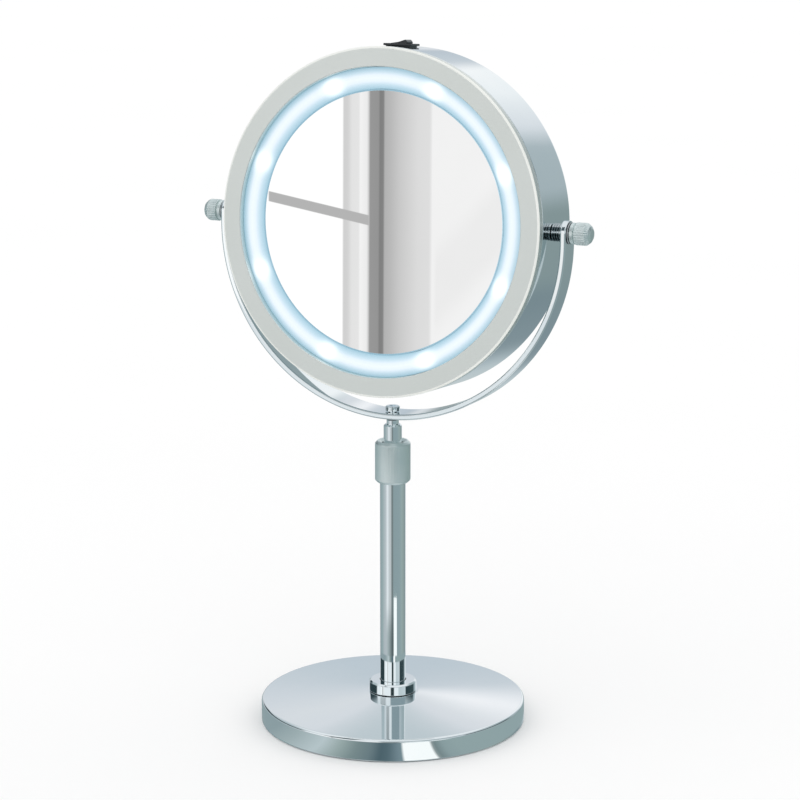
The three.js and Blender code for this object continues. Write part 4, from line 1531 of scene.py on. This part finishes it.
def make_room():
    """The room that the polished plate shows, all round and far away."""
    material, graph, place = new_finish("room")
    angle, height = turned_to(graph, place)
    low = colours_round(graph, angle, LOW_ROOM)
    high = colours_round(graph, angle, HIGH_ROOM)
    soft = colours_round(graph, angle, SOFT_ROOM)
    upper = graph.mix(graph.band(height, 9.5, 25.0, 1.2), soft, high)
    walls = graph.mix(graph.rise(height, -3.0, 5.0), low, upper)
    dim = graph.band(height, -32.0, -21.0, 3.0) * graph.band(graph.maths("ABSOLUTE", angle), 132.0, 164.0, 8.0)
    walls = graph.mix(dim * 0.8, walls, shade(118, 135, 142))
    behind = graph.ramp(height / 40.0, [(stop / 40, shade(*tone)) for stop, tone in BEHIND])
    around = graph.rise(graph.maths("ABSOLUTE", angle), 166.0, 172.0) * graph.rise(height, 4.0, 9.0)
    walls = graph.mix(around, walls, behind)
    fan = graph.band(angle, 172.6, 177.4, 1.6) * graph.band(height, 18.6, 22.6, 2.6)
    walls = graph.mix(fan * 0.8, walls, shade(250, 249, 251))
    ahead = graph.band(angle, -12.0, 66.0, 4.0) * graph.band(height, 21.5, 40.0, 1.0)
    walls = graph.mix(ahead, walls, shade(138, 154, 160))
    ceiling = graph.mix(graph.rise(height, 38.0, 52.0), walls, shade(228, 232, 235))
    floor = graph.mix(graph.rise(height, -75.0, -40.0), shade(205, 212, 216), ceiling)
    beside = graph.band(angle, -66.0, -36.0, 5.0)
    under = graph.band(height, -62.0, -24.0, 4.0) + graph.band(height, 26.0, 64.0, 5.0)
    glowing(graph, graph.mix(beside * under, floor, shade(74, 88, 93)))
    mesh = bpy.data.meshes.new("room")
    shape = bmesh.new()
    bmesh.ops.create_uvsphere(shape, u_segments=64, v_segments=32, radius=20)
    shape.to_mesh(mesh)
    shape.free()
    mesh.materials.append(material)
    only_reflected(new_piece("room", mesh))


def make_table_patch():
    """What lies on the table close round the base, as the base's side shows it."""
    material, graph, place = new_finish("table_patch")
    angle, _ = turned_to(graph, place)
    out = graph.vector("LENGTH", place, output=1)
    near = colours_round(graph, angle, TABLE_EDGE)
    beyond = colours_round(graph, angle, TABLE_BEYOND)
    far = colours_round(graph, angle, LOW_ROOM)
    block = graph.band(angle, 8.0, 36.5, 0.3)
    beyond = graph.mix(graph.rise(out, 0.14, 0.22) * (1 - block), beyond, far)
    glowing(graph, graph.mix(graph.rise(out, 0.111, 0.113), near, beyond))
    away = math.atan2(TO_VIEWER[1], TO_VIEWER[0])
    vertices = []
    faces = []
    for near, far, first, last in ((0.0695, 0.112, -178, 178), (0.112, 0.225, -90, 36.8)):
        steps = 60
        start = len(vertices)
        for step in range(steps + 1):
            angle = away + math.radians(first + (last - first) * step / steps)
            vertices.append((near * math.cos(angle), near * math.sin(angle), 0.0003))
            vertices.append((far * math.cos(angle), far * math.sin(angle), 0.0003))
        for step in range(steps):
            corner = start + 2 * step
            faces.append((corner, corner + 1, corner + 3, corner + 2))
    mesh = bpy.data.meshes.new("table_patch")
    mesh.from_pydata(vertices, [], faces)
    mesh.materials.append(material)
    only_reflected(new_piece("table_patch", mesh))


def make_window():
    """The window and its frame, as the mirror shows them."""
    material, graph, place = new_finish("window")
    across, up, _ = graph.split(place)
    up = up / MM
    across = across / MM - 3.7 + 0.0505 * up
    panes = colours_round(graph, across, WINDOW)
    shadow = graph.band(across - 0.9 * up, 62.0, 120.0, 14.0) * graph.rise(across, 40.0, 44.0)
    panes = graph.mix(shadow * 0.6, panes, shade(230, 230, 230))
    sill = graph.band(up + 0.186 * (across + 58.0), 5.4, 14.0, 0.5) * graph.band(across, -101.0, -15.0, 0.6)
    glowing(graph, graph.mix(sill, panes, shade(178, 178, 178)))
    wide = 0.175
    tall = 0.15
    mesh = bpy.data.meshes.new("window")
    mesh.from_pydata([(-wide, -tall, 0), (wide, -tall, 0), (wide, tall, 0), (-wide, tall, 0)], [], [(0, 1, 2, 3)])
    mesh.materials.append(material)
    window = only_reflected(new_piece("window", mesh))
    right = Vector((0.9005, -0.4348, 0))
    up = Vector((0, 0, 1))
    turn = Matrix((right, up, right.cross(up))).transposed().to_4x4()
    window.matrix_world = Matrix.Translation((-0.391, -0.823, 0.238)) @ turn


def make_floor():
    material, graph, place = new_finish("floor")
    grain = graph.noise(place, 3, 2)
    surface(
        graph,
        Base_Color=graph.mix(grain, shade(250, 250, 250), shade(252, 252, 252)),
        Roughness=0.9 + 0.05 * grain,
        Specular_IOR_Level=0.0,
    )
    wide = 40
    mesh = bpy.data.meshes.new("floor")
    mesh.from_pydata([(-wide, -wide, 0), (wide, -wide, 0), (wide, wide, 0), (-wide, wide, 0)], [], [(0, 1, 2, 3)])
    mesh.materials.append(material)
    floor = new_piece("floor", mesh)
    floor.visible_glossy = False


def make_lights():
    world = bpy.data.worlds.new("soft_room")
    world.use_nodes = True
    background = world.node_tree.nodes["Background"]
    background.inputs["Color"].default_value = (1, 1, 1, 1)
    background.inputs["Strength"].default_value = 1.04
    bpy.context.scene.world = world
    bpy.context.scene.view_settings.view_transform = "Standard"


def make_camera():
    azimuth = math.radians(CAMERA_AZIMUTH)
    elevation = math.radians(CAMERA_ELEVATION)
    away = Vector((
        math.sin(azimuth) * math.cos(elevation),
        -math.cos(azimuth) * math.cos(elevation),
        math.sin(elevation),
    ))
    lens = bpy.data.cameras.new("view")
    lens.lens = CAMERA_LENS
    lens.sensor_width = CAMERA_SENSOR
    lens.clip_end = 200
    camera = bpy.data.objects.new("view", lens)
    bpy.context.scene.collection.objects.link(camera)
    camera.location = (Vector(CAMERA_AIM) + away * CAMERA_DISTANCE) * MM
    camera.rotation_euler = (-away).to_track_quat("-Z", "Y").to_euler()
    bpy.context.scene.camera = camera


def finish_inner_pieces():
    """Gives the plain inner pieces, which keep their CAD shapes, their finishes."""
    inner = {
        "plain_steel": ("base_bolt", "base_washer", "carrier_screw", "contact_plate", "pivot_bolt"),
        "brass": ("tube_plug",),
        "cast_iron": ("base_weight",),
        "white_plastic": ("clamp_ring", "rod_guide", "carrier_plate", "battery_box"),
        "lamp_board": ("lamp_board",),
        "red_lead": ("lead_battery_switch", "lead_switch_board"),
        "black_lead": ("lead_battery_board",),
    }
    for slot, starts in inner.items():
        for name, node in NODES.items():
            if name.startswith(starts):
                node.data.materials.clear()
                node.data.materials.append(FINISHES[slot])


make_base_shell()
make_base_pad()
make_foot_collar()
make_outer_tube()
make_clamp_collar()
make_inner_rod()
make_swivel_washer()
make_bow_screw()
make_bow()
make_drum()
make_bezel()
make_light_ring()
make_mirror_glass()
make_lamps()
make_cells()
make_battery_door()
make_switch()
make_pivot(1, "right")
make_pivot(-1, "left")
finish_inner_pieces()
make_room()
make_table_patch()
make_window()
make_floor()
make_lights()
make_camera()
